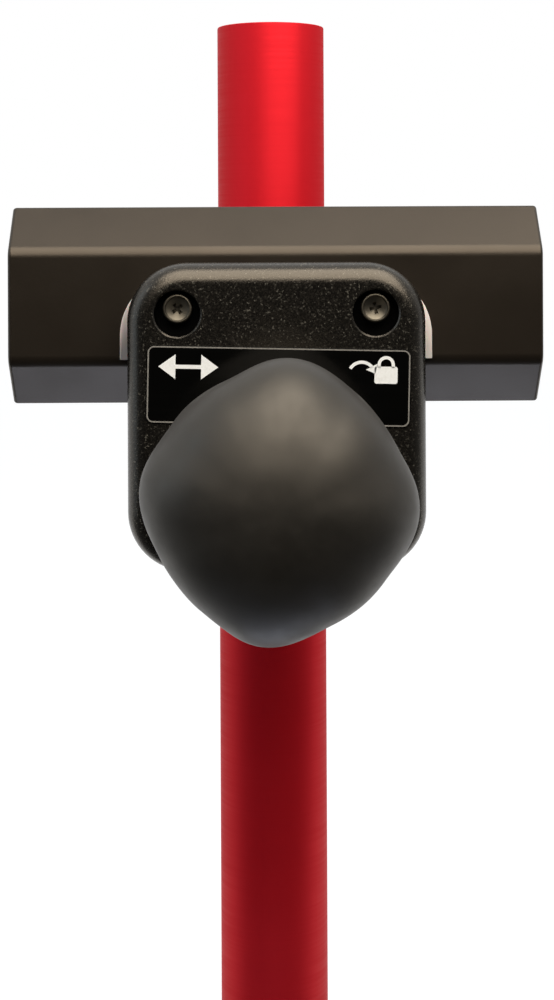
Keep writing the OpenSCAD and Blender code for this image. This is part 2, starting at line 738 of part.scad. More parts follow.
module saddle_screw() {
    end_x = rear_bolt_x - jaw_bolt_d / 2 - bolt_clear;
    color("dimgray") difference() {
        translate([0, rear_bolt_y, head_z])
            x_rod(arm_bore_r + tip_gap, end_x, tube_screw_d / 2);
        translate([end_x - saddle_socket, rear_bolt_y, head_z]) rotate([0, 90, 0])
            cylinder(r = tube_screw_d * grub_r, h = saddle_socket + over, $fn = 6);
    }
}

module rear_jaw() color([0.15, 0.14, 0.13]) at_rear_jaw() hollow_jaw(rear_bolt_x);

module rear_jaw_bolts() color("dimgray") jaw_bolts(rear_bolt_x, rear_bolt_y, saddle_z0);

module rear_jaw_caps() color([0.1, 0.1, 0.1]) at_rear_jaw() jaw_caps();

module rear_pad() color([0.08, 0.08, 0.08]) at_rear_jaw() jaw_pad();

module rear_pad_screws() color("dimgray") at_rear_jaw() jaw_pad_screws();

// ---- Carriage ----

module slide_tube()
    color("silver") difference() {
        y_rod(socket_end_y, -slide_back, slide_r);
        y_rod(socket_end_y - over, -slide_back + over, slide_bore_r);
        translate([-shoe_w / 2 - shoe_gap, shoe_y - shoe_len / 2 - shoe_gap, head_z])
            cube([shoe_w + 2 * shoe_gap, shoe_len + 2 * shoe_gap, slide_r + over]);
        translate([0, key_y, 0]) z_rod(head_z - slide_r - over, head_z, key_d / 2);
        translate([0, jaw_bolt_y, 0])
            z_rod(head_z - slide_r - over, head_z, tube_screw_d / 2);
    }

module guide_key()
    color("dimgray") translate([0, key_y, 0])
        z_rod(head_z - arm_d / 2 + key_set, head_z - slide_bore_r - key_tip_gap, key_d / 2);

// The block seen from the front, with round lower corners.
module block_section() {
    flat_half = block_w / 2 - block_corner;
    translate([-block_w / 2, block_z0 + block_corner]) square([block_w, block_h - block_corner]);
    translate([-flat_half, block_z0]) square([2 * flat_half, block_h]);
    for (sx = [-1, 1])
        translate([sx * flat_half, block_z0 + block_corner]) circle(r = block_corner, $fn = small);
}

module carriage_block()
    color([0.12, 0.12, 0.13]) difference() {
        along_y(seat_y, block_back_y) block_section();
        y_rod(socket_end_y, block_back_y + over, slide_r);
        y_rod(seat_y - over, socket_end_y + over, spindle_bore_r + screw_gap);
        jaw_bolt_bores(front_bolt_x, jaw_bolt_y, block_z0);
        for (sx = [-1, 1]) translate([sx * lower_screw_x, 0, -lower_screw_drop]) {
            y_rod(seat_y - over, block_back_y + over, cover_screw_d / 2 + screw_gap, small);
            y_rod(block_back_y - cover_screw_d * head_ratio, block_back_y + over,
                  cover_head_d / 2 + screw_gap, small);
        }
        translate([0, jaw_bolt_y, 0])
            z_rod(block_z0 - over, head_z, tube_screw_d / 2 + screw_gap);
        stop_pin_places() y_rod(seat_y - over, seat_y + stop_pin_sink, stop_pin_d / 2, small);
    }

module tube_screw()
    color("dimgray") translate([0, jaw_bolt_y, 0]) difference() {
        z_rod(block_z0 + grub_set, head_z - slide_bore_r - grub_tip_gap, tube_screw_d / 2);
        translate([0, 0, block_z0])
            cylinder(r = tube_screw_d * grub_r, h = grub_set + grub_socket, $fn = 6);
    }

module front_jaw()
    color([0.15, 0.14, 0.13]) difference() {
        at_front_jaw() hollow_jaw(front_bolt_x);
        for (sx = [-1, 1]) translate([sx * cover_screw_x, 0, cover_screw_rise])
            y_rod(-jaw_front - over, -jaw_front + jaw_wall + over,
                  cover_screw_d / 2 + screw_gap, small);
    }

module front_jaw_bolts() color("dimgray") jaw_bolts(front_bolt_x, jaw_bolt_y, block_z0);

module front_jaw_caps() color([0.1, 0.1, 0.1]) at_front_jaw() jaw_caps();

module front_pad() color([0.08, 0.08, 0.08]) at_front_jaw() jaw_pad();

module front_pad_screws() color("dimgray") at_front_jaw() jaw_pad_screws();

// The liner stands just above the knee of the jaw's lower chamfer, with round shoulders.
module liner() {
    half = cover_w / 2 + liner_lap;
    shoulder = min(liner_corner, liner_h - liner_foot);
    color("mistyrose") difference() {
        along_y(seat_y, -jaw_front) translate([0, liner_z0]) {
            translate([-half, 0]) square([2 * half, liner_h - shoulder]);
            translate([-half + shoulder, 0]) square([2 * (half - shoulder), liner_h]);
            for (sx = [-1, 1])
                translate([sx * (half - shoulder), liner_h - shoulder])
                    circle(r = shoulder, $fn = small);
        }
        for (sx = [-1, 1]) translate([sx * cover_screw_x, 0, cover_screw_rise])
            y_rod(seat_y - over, -jaw_front + over, cover_screw_d / 2 + screw_gap, small);
        translate([-half - over, seat_y - over, liner_z0 - cover_h])
            cube([2 * half + 2 * over, liner_t + 2 * over, cover_h]);
    }
}

module cover() {
    upper_boss_r = cover_recess_d / 2 + boss_wall;
    recess_rise = cover_screw_rise - cover_recess_drop;
    lower_boss_r = cover_screw_d / 2 + lower_boss_wall;
    color([0.1, 0.1, 0.1]) difference() {
        union() {
            difference() {
                translate([0, face_y, cover_z]) rotate([90, 0, 0])
                    pillow_plate(cover_w, cover_h, cover_depth, cover_corner, cover_fillet);
                translate([0, inner_y, cover_z]) rotate([-90, 0, 0])
                    linear_extrude(cover_depth)
                        round_rect(cover_w - 2 * cover_wall, cover_h - 2 * cover_wall,
                                   cover_corner - cover_wall);
            }
            for (sx = [-1, 1]) {
                translate([sx * cover_screw_x, 0, recess_rise])
                    y_rod(inner_y - over, seat_y, upper_boss_r, small);
                translate([sx * lower_screw_x, 0, -lower_screw_drop])
                    y_rod(inner_y - over, seat_y, lower_boss_r, small);
            }
        }
        y_rod(face_y - over, inner_y + over, spindle_bush_r);
        for (sx = [-1, 1]) {
            translate([sx * cover_screw_x, 0, recess_rise])
                y_rod(face_y - over, face_y + cover_recess, cover_recess_d / 2, small);
            translate([sx * cover_screw_x, 0, cover_screw_rise])
                y_rod(face_y, seat_y + over, cover_screw_d / 2 + screw_gap, small);
            translate([sx * lower_screw_x, 0, -lower_screw_drop])
                y_rod(lower_screw_tip_y - over, seat_y + over,
                      cover_screw_d / 2 + screw_gap, small);
        }
    }
}

// Cheese-head screws with a shallow dish and a cross in the head.
module cover_screws() {
    head_t = cover_screw_d * head_ratio;
    seat = face_y + cover_recess;
    dish_y = seat - head_t + dish_depth;
    color("dimgray") for (sx = [-1, 1])
        translate([sx * cover_screw_x, 0, cover_screw_rise]) difference() {
            union() {
                y_rod(seat - head_t, seat, cover_head_d / 2, small);
                y_rod(seat, seat + cover_screw_len, cover_screw_d / 2, small);
            }
            y_rod(seat - head_t - over, dish_y, cover_head_d / 2 - dish_rim, small);
            translate([-cross_w / 2, dish_y - over, head_z - cross_len / 2])
                cube([cross_w, cross_depth + over, cross_len]);
            translate([-cross_len / 2, dish_y - over, head_z - cross_w / 2])
                cube([cross_len, cross_depth + over, cross_w]);
        }
}

module lower_cover_screws() {
    head_t = cover_screw_d * head_ratio;
    color("dimgray") for (sx = [-1, 1])
        translate([sx * lower_screw_x, 0, -lower_screw_drop]) difference() {
            union() {
                y_rod(lower_screw_tip_y, block_back_y - head_t, cover_screw_d / 2, small);
                y_rod(block_back_y - head_t, block_back_y, cover_head_d / 2, small);
            }
            translate([0, block_back_y + over, head_z]) rotate([90, 0, 0])
                cylinder(r = cover_screw_d * socket_r, h = head_t * hex_share + over, $fn = 6);
        }
}

// The label passes round the lip of the spindle's bush.
module label()
    color([0.03, 0.03, 0.03]) difference() {
        translate([label_shift, face_y, head_z + label_rise]) rotate([90, label_tilt, 0])
            linear_extrude(label_t) round_rect(label_w, label_h, label_corner);
        y_rod(face_y - 2 * label_t, face_y + over, spindle_bush_r + spindle_bush_lap + screw_gap);
    }

// ---- Lock ----

module spindle_bush()
    color("darkgoldenrod") difference() {
        union() {
            y_rod(face_y, inner_y, spindle_bush_r);
            y_rod(face_y - spindle_bush_lip, face_y, spindle_bush_r + spindle_bush_lap);
        }
        y_rod(face_y - spindle_bush_lip - over, inner_y + over, spindle_bore_r);
    }

module front_thrust_washer()
    color("darkgoldenrod")
        y_ring(inner_y + axial_gap, inner_y + axial_gap + thrust_t, flange_r, spindle_bore_r);

module rear_thrust_washer()
    color("darkgoldenrod") y_ring(rear_thrust_y, seat_y, flange_r, spindle_bore_r);

module stop_pin_places()
    for (side = [-1, 1])
        translate([side * stop_pin_r * sin(stop_angle), 0, -stop_pin_r * cos(stop_angle)])
            children();

module stop_pins()
    color("silver") stop_pin_places()
        y_rod(flange_y, seat_y + stop_pin_sink, stop_pin_d / 2, small);

module spindle()
    color("silver") difference() {
        union() {
            y_rod(spindle_front_y, spindle_back_y, spindle_r);
            y_rod(flange_y, flange_y + flange_t, flange_r);
            along_y(flange_y, flange_y + flange_t) translate([0, head_z])
                polygon([[0, 0],
                         [-lug_r * sin(lug_half), -lug_r * cos(lug_half)],
                         [lug_r * sin(lug_half), -lug_r * cos(lug_half)]]);
        }
        translate([0, drive_pin_y, head_z])
            x_rod(-spindle_d, spindle_d, drive_pin_d / 2);
    }

module spring_washer()
    color("silver")
        y_ring(spring_y, spring_y + spring_washer_t, spindle_bush_r + spring_lap,
               spindle_bore_r);

module wedge_nut()
    color("darkgoldenrod") difference() {
        y_rod(wedge_front_y, -wedge_back, wedge_r);
        y_rod(wedge_front_y - over, -wedge_back + over, spindle_bore_r);
        translate([0, -wedge_back, head_z + ramp_high]) rotate([wedge_angle, 0, 0])
            translate([-wedge_r, -2 * wedge_len, 0]) cube([2 * wedge_r, 3 * wedge_len, wedge_r]);
    }

module brake_shoe() {
    low = head_z + ramp_rest;
    color("darkgoldenrod") difference() {
        intersection() {
            y_rod(shoe_y - shoe_len / 2, shoe_y + shoe_len / 2, shoe_top_r);
            translate([-shoe_w / 2, -2 * jaw_front, head_z])
                cube([shoe_w, 2 * jaw_front, slide_r]);
        }
        translate([0, -wedge_back, low + ramp_high]) rotate([wedge_angle, 0, 0])
            translate([-wedge_r, -2 * wedge_len, -2 * wedge_r])
                cube([2 * wedge_r, 4 * wedge_len, 2 * wedge_r]);
    }
}

// ---- Knob ----

// The knob's radius at a share of its length, without lobes, as a part of 1.
belly_share = knob_belly / knob_len;
base_share = knob_base_r / knob_hollow_r;
function knob_swell(s) =
    s < belly_share
        ? base_share + (1 - base_share) * sin(90 * s / belly_share) ^ 1.2
        : sqrt(max(0, 1 - ((s - belly_share) / (1 - belly_share)) ^ 2.2));
// How far the lobes stand out at that share: most at the belly, none at the crown.
function lobe_share(s) = sin(180 * min(1, s / (2 * belly_share)) ^ 1.3);
// The angle from the nearest lobe's crest, for an angle measured from the first lobe.
function off_crest(turn) = abs((turn + 45 + 720) % 90 - 45);
// A lobe's form round the knob, from 0 beside the lobe to 1 on its crest.
function lobe_form(turn) =
    off_crest(turn) < lobe_half ? cos(90 * off_crest(turn) / lobe_half) ^ 2 : 0;
function knob_radius(s, a) =
    let(turn = a - 90 - knob_phase,
        lobes = (knob_lobe_r - knob_hollow_r) * lobe_form(turn) + knob_oval * cos(2 * turn))
    knob_swell(s) * (knob_hollow_r + lobes * lobe_share(s));

knob_sides = 72;
knob_rings = 26;
// The rings crowd together towards the crown, where the dome turns fastest.
function ring_share(i) =
    let(t = i / knob_rings) t < 0.5 ? t * 2 * belly_share
        : belly_share + (1 - belly_share) * sin(90 * (2 * t - 1));

// The lobed dome as one closed skin, with its base at 0 and its crown along +Z.
module knob_skin() {
    rings = [for (i = [0:knob_rings - 1], k = [0:knob_sides - 1])
        let(a = 360 * k / knob_sides, s = ring_share(i), r = knob_radius(s, a))
        [r * cos(a), r * sin(a), s * knob_len]];
    top = len(rings);
    points = concat(rings, [[0, 0, knob_len], [0, 0, 0]]);
    last = (knob_rings - 1) * knob_sides;
    walls = [for (i = [0:knob_rings - 2], k = [0:knob_sides - 1], half = [0, 1])
        let(a = i * knob_sides + k, b = i * knob_sides + (k + 1) % knob_sides)
        half == 0 ? [a, a + knob_sides, b + knob_sides] : [a, b + knob_sides, b]];
    crown = [for (k = [0:knob_sides - 1]) [last + k, top, last + (k + 1) % knob_sides]];
    base = [for (k = [0:knob_sides - 1]) [k, (k + 1) % knob_sides, top + 1]];
    polyhedron(points = points, faces = concat(walls, crown, base), convexity = 4);
}

module core_solid(grow) {
    y_rod(knob_y - core_len - grow, knob_y + grow, core_r);
    y_rod(knob_y - core_disc_t, knob_y + grow, core_disc_r);
}

module knob_core()
    color([0.2, 0.2, 0.2]) difference() {
        core_solid(0);
        y_rod(spindle_front_y, knob_y + over, spindle_r);
        translate([0, drive_pin_y, head_z]) x_rod(-core_r - over, core_r + over, drive_pin_d / 2);
    }

module knob_grip()
    color([0.17, 0.16, 0.15]) difference() {
        translate([0, knob_y, head_z]) rotate([90, 0, 0]) knob_skin();
        y_rod(knob_y - core_len, knob_y + over, core_r);
        y_rod(knob_y - core_disc_t, knob_y + over, core_disc_r);
    }

module drive_pin()
    color("silver") translate([0, drive_pin_y, head_z])
        x_rod(pin_end_gap - core_r, core_r - pin_end_gap, drive_pin_d / 2);

post_tube();
post_plug();
post_foot_bush();
collar_body();
collar_bush();
arm_tube();
arm_screws();
arm_mouth_ring();
clamp_rod();
rod_nut();
cam_washer();
lever_pin();
cam_lever();
rear_saddle();
saddle_screw();
rear_jaw();
rear_jaw_bolts();
rear_jaw_caps();
rear_pad();
rear_pad_screws();
slide_tube();
guide_key();
carriage_block();
tube_screw();
front_jaw();
front_jaw_bolts();
front_jaw_caps();
front_pad();
front_pad_screws();
liner();
cover();
cover_screws();
lower_cover_screws();
label();
spindle_bush();
front_thrust_washer();
rear_thrust_washer();
stop_pins();
spindle();
spring_washer();
knob_core();
knob_grip();
drive_pin();
wedge_nut();
brake_shoe();
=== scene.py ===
"""Looks of a work stand's clamp head on its post, and the studio round it.

Every length is in millimetres. The frame is the part's own: +Z is up along the
post, and the clamp's knob faces -Y.
"""

import logging
import math
from dataclasses import KW_ONLY, dataclass
from enum import Enum
from typing import Iterable, Optional, Sequence

import bmesh
import bpy
from mathutils import Euler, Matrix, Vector, noise


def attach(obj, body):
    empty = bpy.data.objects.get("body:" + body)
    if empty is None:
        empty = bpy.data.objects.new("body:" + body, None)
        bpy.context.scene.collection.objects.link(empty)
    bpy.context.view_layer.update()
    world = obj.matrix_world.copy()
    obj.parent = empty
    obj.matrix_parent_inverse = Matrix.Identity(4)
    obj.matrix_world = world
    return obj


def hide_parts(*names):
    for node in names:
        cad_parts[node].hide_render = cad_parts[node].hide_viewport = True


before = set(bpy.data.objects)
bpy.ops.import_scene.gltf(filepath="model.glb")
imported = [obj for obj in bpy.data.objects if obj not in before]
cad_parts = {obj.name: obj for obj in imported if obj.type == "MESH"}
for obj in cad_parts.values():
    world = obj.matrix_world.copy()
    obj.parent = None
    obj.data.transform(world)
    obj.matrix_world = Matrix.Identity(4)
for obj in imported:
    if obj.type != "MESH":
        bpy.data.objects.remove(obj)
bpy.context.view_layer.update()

MM = 0.001
SPINDLE_Z = 292.0
CARRIAGE_FACE_Y = -174.0
TOOL_REACH = 1.0
TOUCH = 0.1
LEAST_RADIUS = 1e-4
FLAT_WEIGHT = 80

Point = tuple[float, float, float]
Flat = tuple[float, float]
Colour = tuple[float, float, float]
Socket = bpy.types.NodeSocket
Feeds = dict[str | int, Socket | float | tuple]

log = logging.getLogger("clamp_head")


# ---------------------------------------------------------------- shapes


def rounded(corners: Sequence[Flat], radii: Sequence[float], steps: int) -> list[Flat]:
    """Rounds the corners of a flat outline.

    Args:
        corners: The outline's sharp corners, in order.
        radii: The radius at each corner.
        steps: How many short edges make each rounding.

    Returns:
        The rounded outline, with steps + 1 points for each corner.
    """
    outline: list[Flat] = []
    count = len(corners)
    for i, corner in enumerate(corners):
        here = Vector(corner)
        back = (Vector(corners[i - 1]) - here).normalized()
        ahead = (Vector(corners[(i + 1) % count]) - here).normalized()
        half = back.angle(ahead) / 2
        radius = max(radii[i], LEAST_RADIUS)
        middle = here + (back + ahead).normalized() * (radius / math.sin(half))
        start = here + back * (radius / math.tan(half)) - middle
        end = here + ahead * (radius / math.tan(half)) - middle
        turn = start.angle_signed(end)
        for step in range(steps + 1):
            angle = -turn * step / steps
            spun = Vector((start.x * math.cos(angle) - start.y * math.sin(angle),
                           start.x * math.sin(angle) + start.y * math.cos(angle)))
            outline.append(tuple(middle + spun))
    return outline


def rounded_rectangle(width: float, height: float, radius: float, steps: int = 16) -> list[Flat]:
    """Gives a rectangle with round corners about its middle.

    Args:
        width: Its width.
        height: Its height.
        radius: The radius of its corners.
        steps: How many short edges make each corner.

    Returns:
        The outline, counter-clockwise.
    """
    w, h = width / 2, height / 2
    return rounded([(-w, -h), (w, -h), (w, h), (-w, h)], [radius] * 4, steps)


def quarter_turn(steps: int) -> list[float]:
    """Gives the angles of a quarter turn, in equal steps."""
    return [math.radians(90 * k / steps) for k in range(steps + 1)]


class Shape:
    """Points and faces of one piece in millimetres, gathered before they become a mesh."""

    def __init__(self, name: str) -> None:
        """Starts an empty shape.

        Args:
            name: The piece's name.
        """
        self.name = name
        self.points: list[Point] = []
        self.faces: list[tuple[int, ...]] = []

    def ring(self, points: Iterable[Point]) -> list[int]:
        """Adds a ring of points.

        Args:
            points: The points, in order.

        Returns:
            The points' numbers.
        """
        start = len(self.points)
        self.points.extend(tuple(p) for p in points)
        return list(range(start, len(self.points)))

    def bridge(self, first: list[int], second: list[int]) -> None:
        """Joins two closed rings with a band of faces.

        Args:
            first: The first ring's numbers.
            second: The second ring's, as many as the first's.
        """
        count = len(first)
        for i in range(count):
            j = (i + 1) % count
            self.faces.append((first[i], first[j], second[j], second[i]))

    def cap(self, ring: list[int]) -> None:
        """Closes a ring with one face."""
        self.faces.append(tuple(ring))

    def fan(self, ring: list[int], tip: Point) -> None:
        """Closes a ring with triangles.

        Args:
            ring: The ring's numbers.
            tip: The point where the triangles meet.
        """
        (centre,) = self.ring([tip])
        count = len(ring)
        for i in range(count):
            self.faces.append((ring[i], ring[(i + 1) % count], centre))

    def skin(self, rings: Iterable[Iterable[Point]], closed: bool = False) -> list[list[int]]:
        """Joins a row of rings with bands of faces.

        Args:
            rings: The points of each ring, in order.
            closed: Whether the last ring joins the first one too.

        Returns:
            The numbers of each ring's points.
        """
        made = [self.ring(points) for points in rings]
        for first, second in zip(made, made[1:] + made[:1] if closed else made[1:]):
            self.bridge(first, second)
        return made

    def loft(self, rings: Iterable[Iterable[Point]]) -> None:
        """Joins a row of rings into one solid.

        Args:
            rings: The points of each ring, in order. The first and the last are closed.
        """
        made = self.skin(rings)
        self.cap(made[0])
        self.cap(made[-1])

    def lathe(self, profile: Sequence[Flat], x: float, z: float, sides: int = 64) -> None:
        """Turns a profile round a line along Y.

        Args:
            profile: Pairs of a place along Y and a radius there.
            x: Where the line is, left to right.
            z: How high the line is.
            sides: How many facets go round.
        """
        angles = [math.tau * k / sides for k in range(sides)]
        self.loft([[(x + r * math.cos(a), y, z + r * math.sin(a)) for a in angles]
                   for y, r in profile])

    def build(self, crease: float = 30.0) -> bpy.types.Object:
        """Makes the mesh and its object.

        Args:
            crease: Edges that turn by more than this, in degrees, stay sharp.

        Returns:
            The new object, linked to the scene, in metres.
        """
        mesh = bpy.data.meshes.new(self.name)
        mesh.from_pydata([tuple(c * MM for c in p) for p in self.points], [], self.faces)
        net = bmesh.new()
        net.from_mesh(mesh)
        bmesh.ops.recalc_face_normals(net, faces=net.faces)
        net.to_mesh(mesh)
        net.free()
        piece = bpy.data.objects.new(self.name, mesh)
        bpy.context.scene.collection.objects.link(piece)
        soften(piece, crease)
        return piece


def turned(name: str, profile: Sequence[Flat], x: float, z: float,
           sides: int = 96) -> bpy.types.Object:
    """Makes one turned solid along Y, such as a boss or a tool that cuts a hole.

    Args:
        name: The solid's name.
        profile: Pairs of a place along Y and a radius there.
        x: Where its line is, left to right.
        z: How high its line is.
        sides: How many facets go round.

    Returns:
        The new object.
    """
    shape = Shape(name)
    shape.lathe(profile, x, z, sides)
    return shape.build()


def soften(piece: bpy.types.Object, crease: float) -> None:
    """Shades a piece smooth, apart from edges that turn by more than crease degrees."""
    piece.data.shade_smooth()
    piece.data.set_sharp_from_angle(angle=math.radians(crease))


def weigh_normals(piece: bpy.types.Object) -> None:
    """Keeps large flat faces flat in shading where small roundings meet them.

    Args:
        piece: The piece to shade so.
    """
    weigh = piece.modifiers.new("flat_faces", "WEIGHTED_NORMAL")
    weigh.keep_sharp = True
    weigh.weight = FLAT_WEIGHT


def carve(piece: bpy.types.Object, cutters: Sequence[bpy.types.Object],
          additions: Sequence[bpy.types.Object] = (), crease: float = 30.0) -> None:
    """Adds some solids to a piece, cuts others out of it, and removes the tools.

    Args:
        piece: The piece to work on.
        cutters: Solids to take away.
        additions: Solids to join on first.
        crease: Edges that turn by more than this, in degrees, stay sharp.
    """
    for tool in [*additions, *cutters]:
        step = piece.modifiers.new(tool.name, "BOOLEAN")
        step.operation = "UNION" if tool in additions else "DIFFERENCE"
        step.solver = "EXACT"
        step.object = tool
    bpy.context.view_layer.update()
    depsgraph = bpy.context.evaluated_depsgraph_get()
    worked = bpy.data.meshes.new_from_object(piece.evaluated_get(depsgraph))
    piece.modifiers.clear()
    piece.data = worked
    for tool in [*additions, *cutters]:
        bpy.data.objects.remove(tool, do_unlink=True)
    soften(piece, crease)


def wired(tree: bpy.types.NodeTree, kind: str, feeds: Feeds,
          **options: str) -> bpy.types.Node:
    """Adds a node and feeds its inputs.

    Args:
        tree: The nodes to add to.
        kind: The node's kind.
        feeds: What each input gets: another node's output, or a plain value.
        options: The node's own options.

    Returns:
        The new node.
    """
    node = tree.nodes.new(kind)
    for option, choice in options.items():
        setattr(node, option, choice)
    for name, feed in feeds.items():
        if isinstance(feed, Socket):
            tree.links.new(feed, node.inputs[name])
        else:
            node.inputs[name].default_value = feed
    return node


def combined(tree: bpy.types.NodeTree, operation: str, first: Socket,
             second: Socket | float) -> Socket:
    """Gives what a Math node's operation makes of two values."""
    return wired(tree, "ShaderNodeMath", {0: first, 1: second},
                 operation=operation).outputs["Value"]


def seen_directly(tree: bpy.types.NodeTree, mirrored: Socket | float = 1.0) -> Socket:
    """Gives 1 for what the camera sees itself, in a mirror or through glass, and else 0.

    Args:
        tree: The nodes to add to.
        mirrored: How much of it mirrors show, from 0 to 1.

    Returns:
        The share that is seen directly.
    """
    path = wired(tree, "ShaderNodeLightPath", {})
    mirror = combined(tree, "MULTIPLY", path.outputs["Is Glossy Ray"], mirrored)
    seen = combined(tree, "MAXIMUM", path.outputs["Is Camera Ray"], mirror)
    return combined(tree, "MAXIMUM", seen, path.outputs["Is Transmission Ray"])


class Edge(Enum):
    """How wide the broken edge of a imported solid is."""

    FINE = 0.2
    EASED = 0.3
    BROKEN = 0.4
    SOFT = 0.5
    CAST = 0.6
    HANDLED = 0.8


class EdgeEasing:
    """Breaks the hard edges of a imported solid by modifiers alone."""

    weld_gap: float = 0.002
    flat_turn: float = 0.5
    edge_turn: float = 32.0
    segments: int = 2

    def __init__(self) -> None:
        """Makes the group that welds a solid's faces and shades them smooth."""
        self.group = bpy.data.node_groups.new("weld_and_smooth", "GeometryNodeTree")
        for way in ("INPUT", "OUTPUT"):
            self.group.interface.new_socket("Geometry", in_out=way,
                                            socket_type="NodeSocketGeometry")
        entry = wired(self.group, "NodeGroupInput", {})
        weld = wired(self.group, "GeometryNodeMergeByDistance",
                     {"Geometry": entry.outputs[0], "Distance": self.weld_gap * MM})
        smooth = wired(self.group, "GeometryNodeSetShadeSmooth",
                       {"Geometry": weld.outputs["Geometry"]})
        wired(self.group, "NodeGroupOutput", {0: smooth.outputs["Geometry"]})

    def apply(self, node: bpy.types.Object, edge: Edge) -> None:
        """Welds, smooths and bevels one solid.

        Args:
            node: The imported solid's object.
            edge: How wide its broken edges are.
        """
        weld = node.modifiers.new("weld", "NODES")
        weld.node_group = self.group
        flats = node.modifiers.new("flats", "DECIMATE")
        flats.decimate_type = "DISSOLVE"
        flats.angle_limit = math.radians(self.flat_turn)
        bevel = node.modifiers.new("edge", "BEVEL")
        bevel.width = edge.value * MM
        bevel.segments = self.segments
        bevel.limit_method = "ANGLE"
        bevel.angle_limit = math.radians(self.edge_turn)
        bevel.harden_normals = True


# ---------------------------------------------------------------- finishes


class Grain(Enum):
    """The way in which a surface's fine lines run, as a scale along each axis."""

    ALONG_X = (0.02, 1.0, 1.0)
    ALONG_Y = (1.0, 0.02, 1.0)
    ALONG_Z = (1.0, 1.0, 0.02)
    ROUND_X = (1.0, 0.02, 0.02)
    ROUND_Y = (0.02, 1.0, 0.02)
    ROUND_Z = (0.02, 0.02, 1.0)


@dataclass(frozen=True)
class Waves:
    """A soft noise: its waves in a millimetre, its finer layers, and how strong they are."""

    per_mm: float
    detail: float = 2.0
    rough: float = 0.5
    grain: Optional[Grain] = None


BROAD: Flat = (0.3, 0.7)


class Bench:
    """One material's nodes, laid out round a Principled shader."""

    edge_levels_wear_and_highlight: Flat = (0.53, 0.62)

    def __init__(self, name: str, held: Feeds) -> None:
        """Starts a material.

        Args:
            name: The material's name.
            held: What each of the shader's sockets holds, the same all over.
        """
        self.material = bpy.data.materials.new(name)
        self.material.use_nodes = True
        self.tree = self.material.node_tree
        self.tree.nodes.clear()
        self.shader = self.node("ShaderNodeBsdfPrincipled", held)
        self.output = self.node("ShaderNodeOutputMaterial",
                                {"Surface": self.shader.outputs["BSDF"]})
        self.place = self.node("ShaderNodeTexCoord", {}).outputs["Object"]
        self.material.diffuse_color = held["Base Color"]

    def node(self, kind: str, feeds: Feeds, **options: str) -> bpy.types.Node:
        """Adds a node to the material and feeds its inputs."""
        return wired(self.tree, kind, feeds, **options)

    def hold(self, socket: str, value: float | tuple) -> None:
        """Sets one of the shader's own sockets to a value that is the same all over."""
        self.shader.inputs[socket].default_value = value

    def drive(self, socket: str, source: Socket) -> None:
        """Links a varying value into one of the shader's sockets."""
        self.tree.links.new(source, self.shader.inputs[socket])

    def noise(self, waves: Waves) -> Socket:
        """Adds soft noise.

        Args:
            waves: The noise's own sizes.

        Returns:
            The noise, from 0 to 1.
        """
        place = self.place
        if waves.grain is not None:
            place = self.node("ShaderNodeMapping",
                              {"Scale": waves.grain.value, "Vector": place}).outputs["Vector"]
        return self.node("ShaderNodeTexNoise", {
            "Scale": waves.per_mm / MM, "Detail": waves.detail, "Roughness": waves.rough,
            "Vector": place}).outputs["Fac"]

    def levels(self, source: Socket, low: float, high: float,
               at_low: float = 0.0, at_high: float = 1.0) -> Socket:
        """Stretches a value between two levels.

        Args:
            source: The value to read.
            low: The source's value that gives at_low.
            high: The source's value that gives at_high.
            at_low: The result at and below low.
            at_high: The result at and above high.

        Returns:
            The stretched value.
        """
        return self.node("ShaderNodeMapRange", {
            "From Min": low, "From Max": high, "To Min": at_low, "To Max": at_high,
            "Value": source}).outputs["Result"]

    def edges(self) -> Socket:
        """Gives 1 on outer edges and 0 on open faces: the mask for rubbing wear together with a
        painted edge highlight.
        """
        bend = self.node("ShaderNodeNewGeometry", {}).outputs["Pointiness"]
        return self.levels(bend, *self.edge_levels_wear_and_highlight)

    def tint(self, factor: Socket, plain: Colour, changed: Colour) -> None:
        """Lets the colour drift.

        Args:
            factor: How far it has drifted, from 0 to 1.
            plain: The colour at 0.
            changed: The colour at 1.
        """
        mix = self.node("ShaderNodeMix", {"A": (*plain, 1.0), "B": (*changed, 1.0),
                                          "Factor": factor}, data_type="RGBA")
        self.drive("Base Color", mix.outputs["Result"])

    def roughen(self, source: Socket, middle: float, swing: Flat, span: Flat = BROAD) -> None:
        """Lets the roughness swing about its middle as a value goes through a span."""
        self.drive("Roughness", self.levels(source, *span, *(middle + way for way in swing)))

    def bump(self, height: Socket, depth: float) -> None:
        """Raises the surface by a height, on top of any bump before it.

        Args:
            height: The height, from 0 to 1.
            depth: How deep the relief is.
        """
        bump = self.node("ShaderNodeBump", {"Distance": depth * MM, "Height": height})
        before = self.shader.inputs["Normal"]
        if before.is_linked:
            self.tree.links.new(before.links[0].from_socket, bump.inputs["Normal"])
        self.drive("Normal", bump.outputs["Normal"])


@dataclass(frozen=True)
class Finish:
    """A finish that can be put on any piece."""

    name: str
    base: Colour
    _: KW_ONLY
    metallic: float = 0.0
    roughness: float = 0.42
    ior: float = 1.5
    gloss: float = 0.5
    gloss_tint: Colour = (1.0, 1.0, 1.0)

    def start(self) -> Bench:
        """Starts the finish's nodes with what is the same all over.

        Returns:
            The bench with the finish's nodes.
        """
        return Bench(self.name, {
            "Base Color": (*self.base, 1.0), "Metallic": self.metallic,
            "Roughness": self.roughness, "IOR": self.ior,
            "Specular IOR Level": self.gloss, "Specular Tint": (*self.gloss_tint, 1.0)})

    def lay(self) -> Bench:
        """Lays out the nodes of this finish."""
        raise NotImplementedError

    def material(self) -> bpy.types.Material:
        """Gives this finish's material, made once."""
        return bpy.data.materials.get(self.name) or self.lay().material

    def dress(self, piece: bpy.types.Object) -> None:
        """Puts the finish on a piece, in each of its material slots.

        Args:
            piece: The piece to dress.
        """
        if not piece.material_slots:
            piece.data.materials.append(self.material())
        for place in piece.material_slots:
            place.material = self.material()


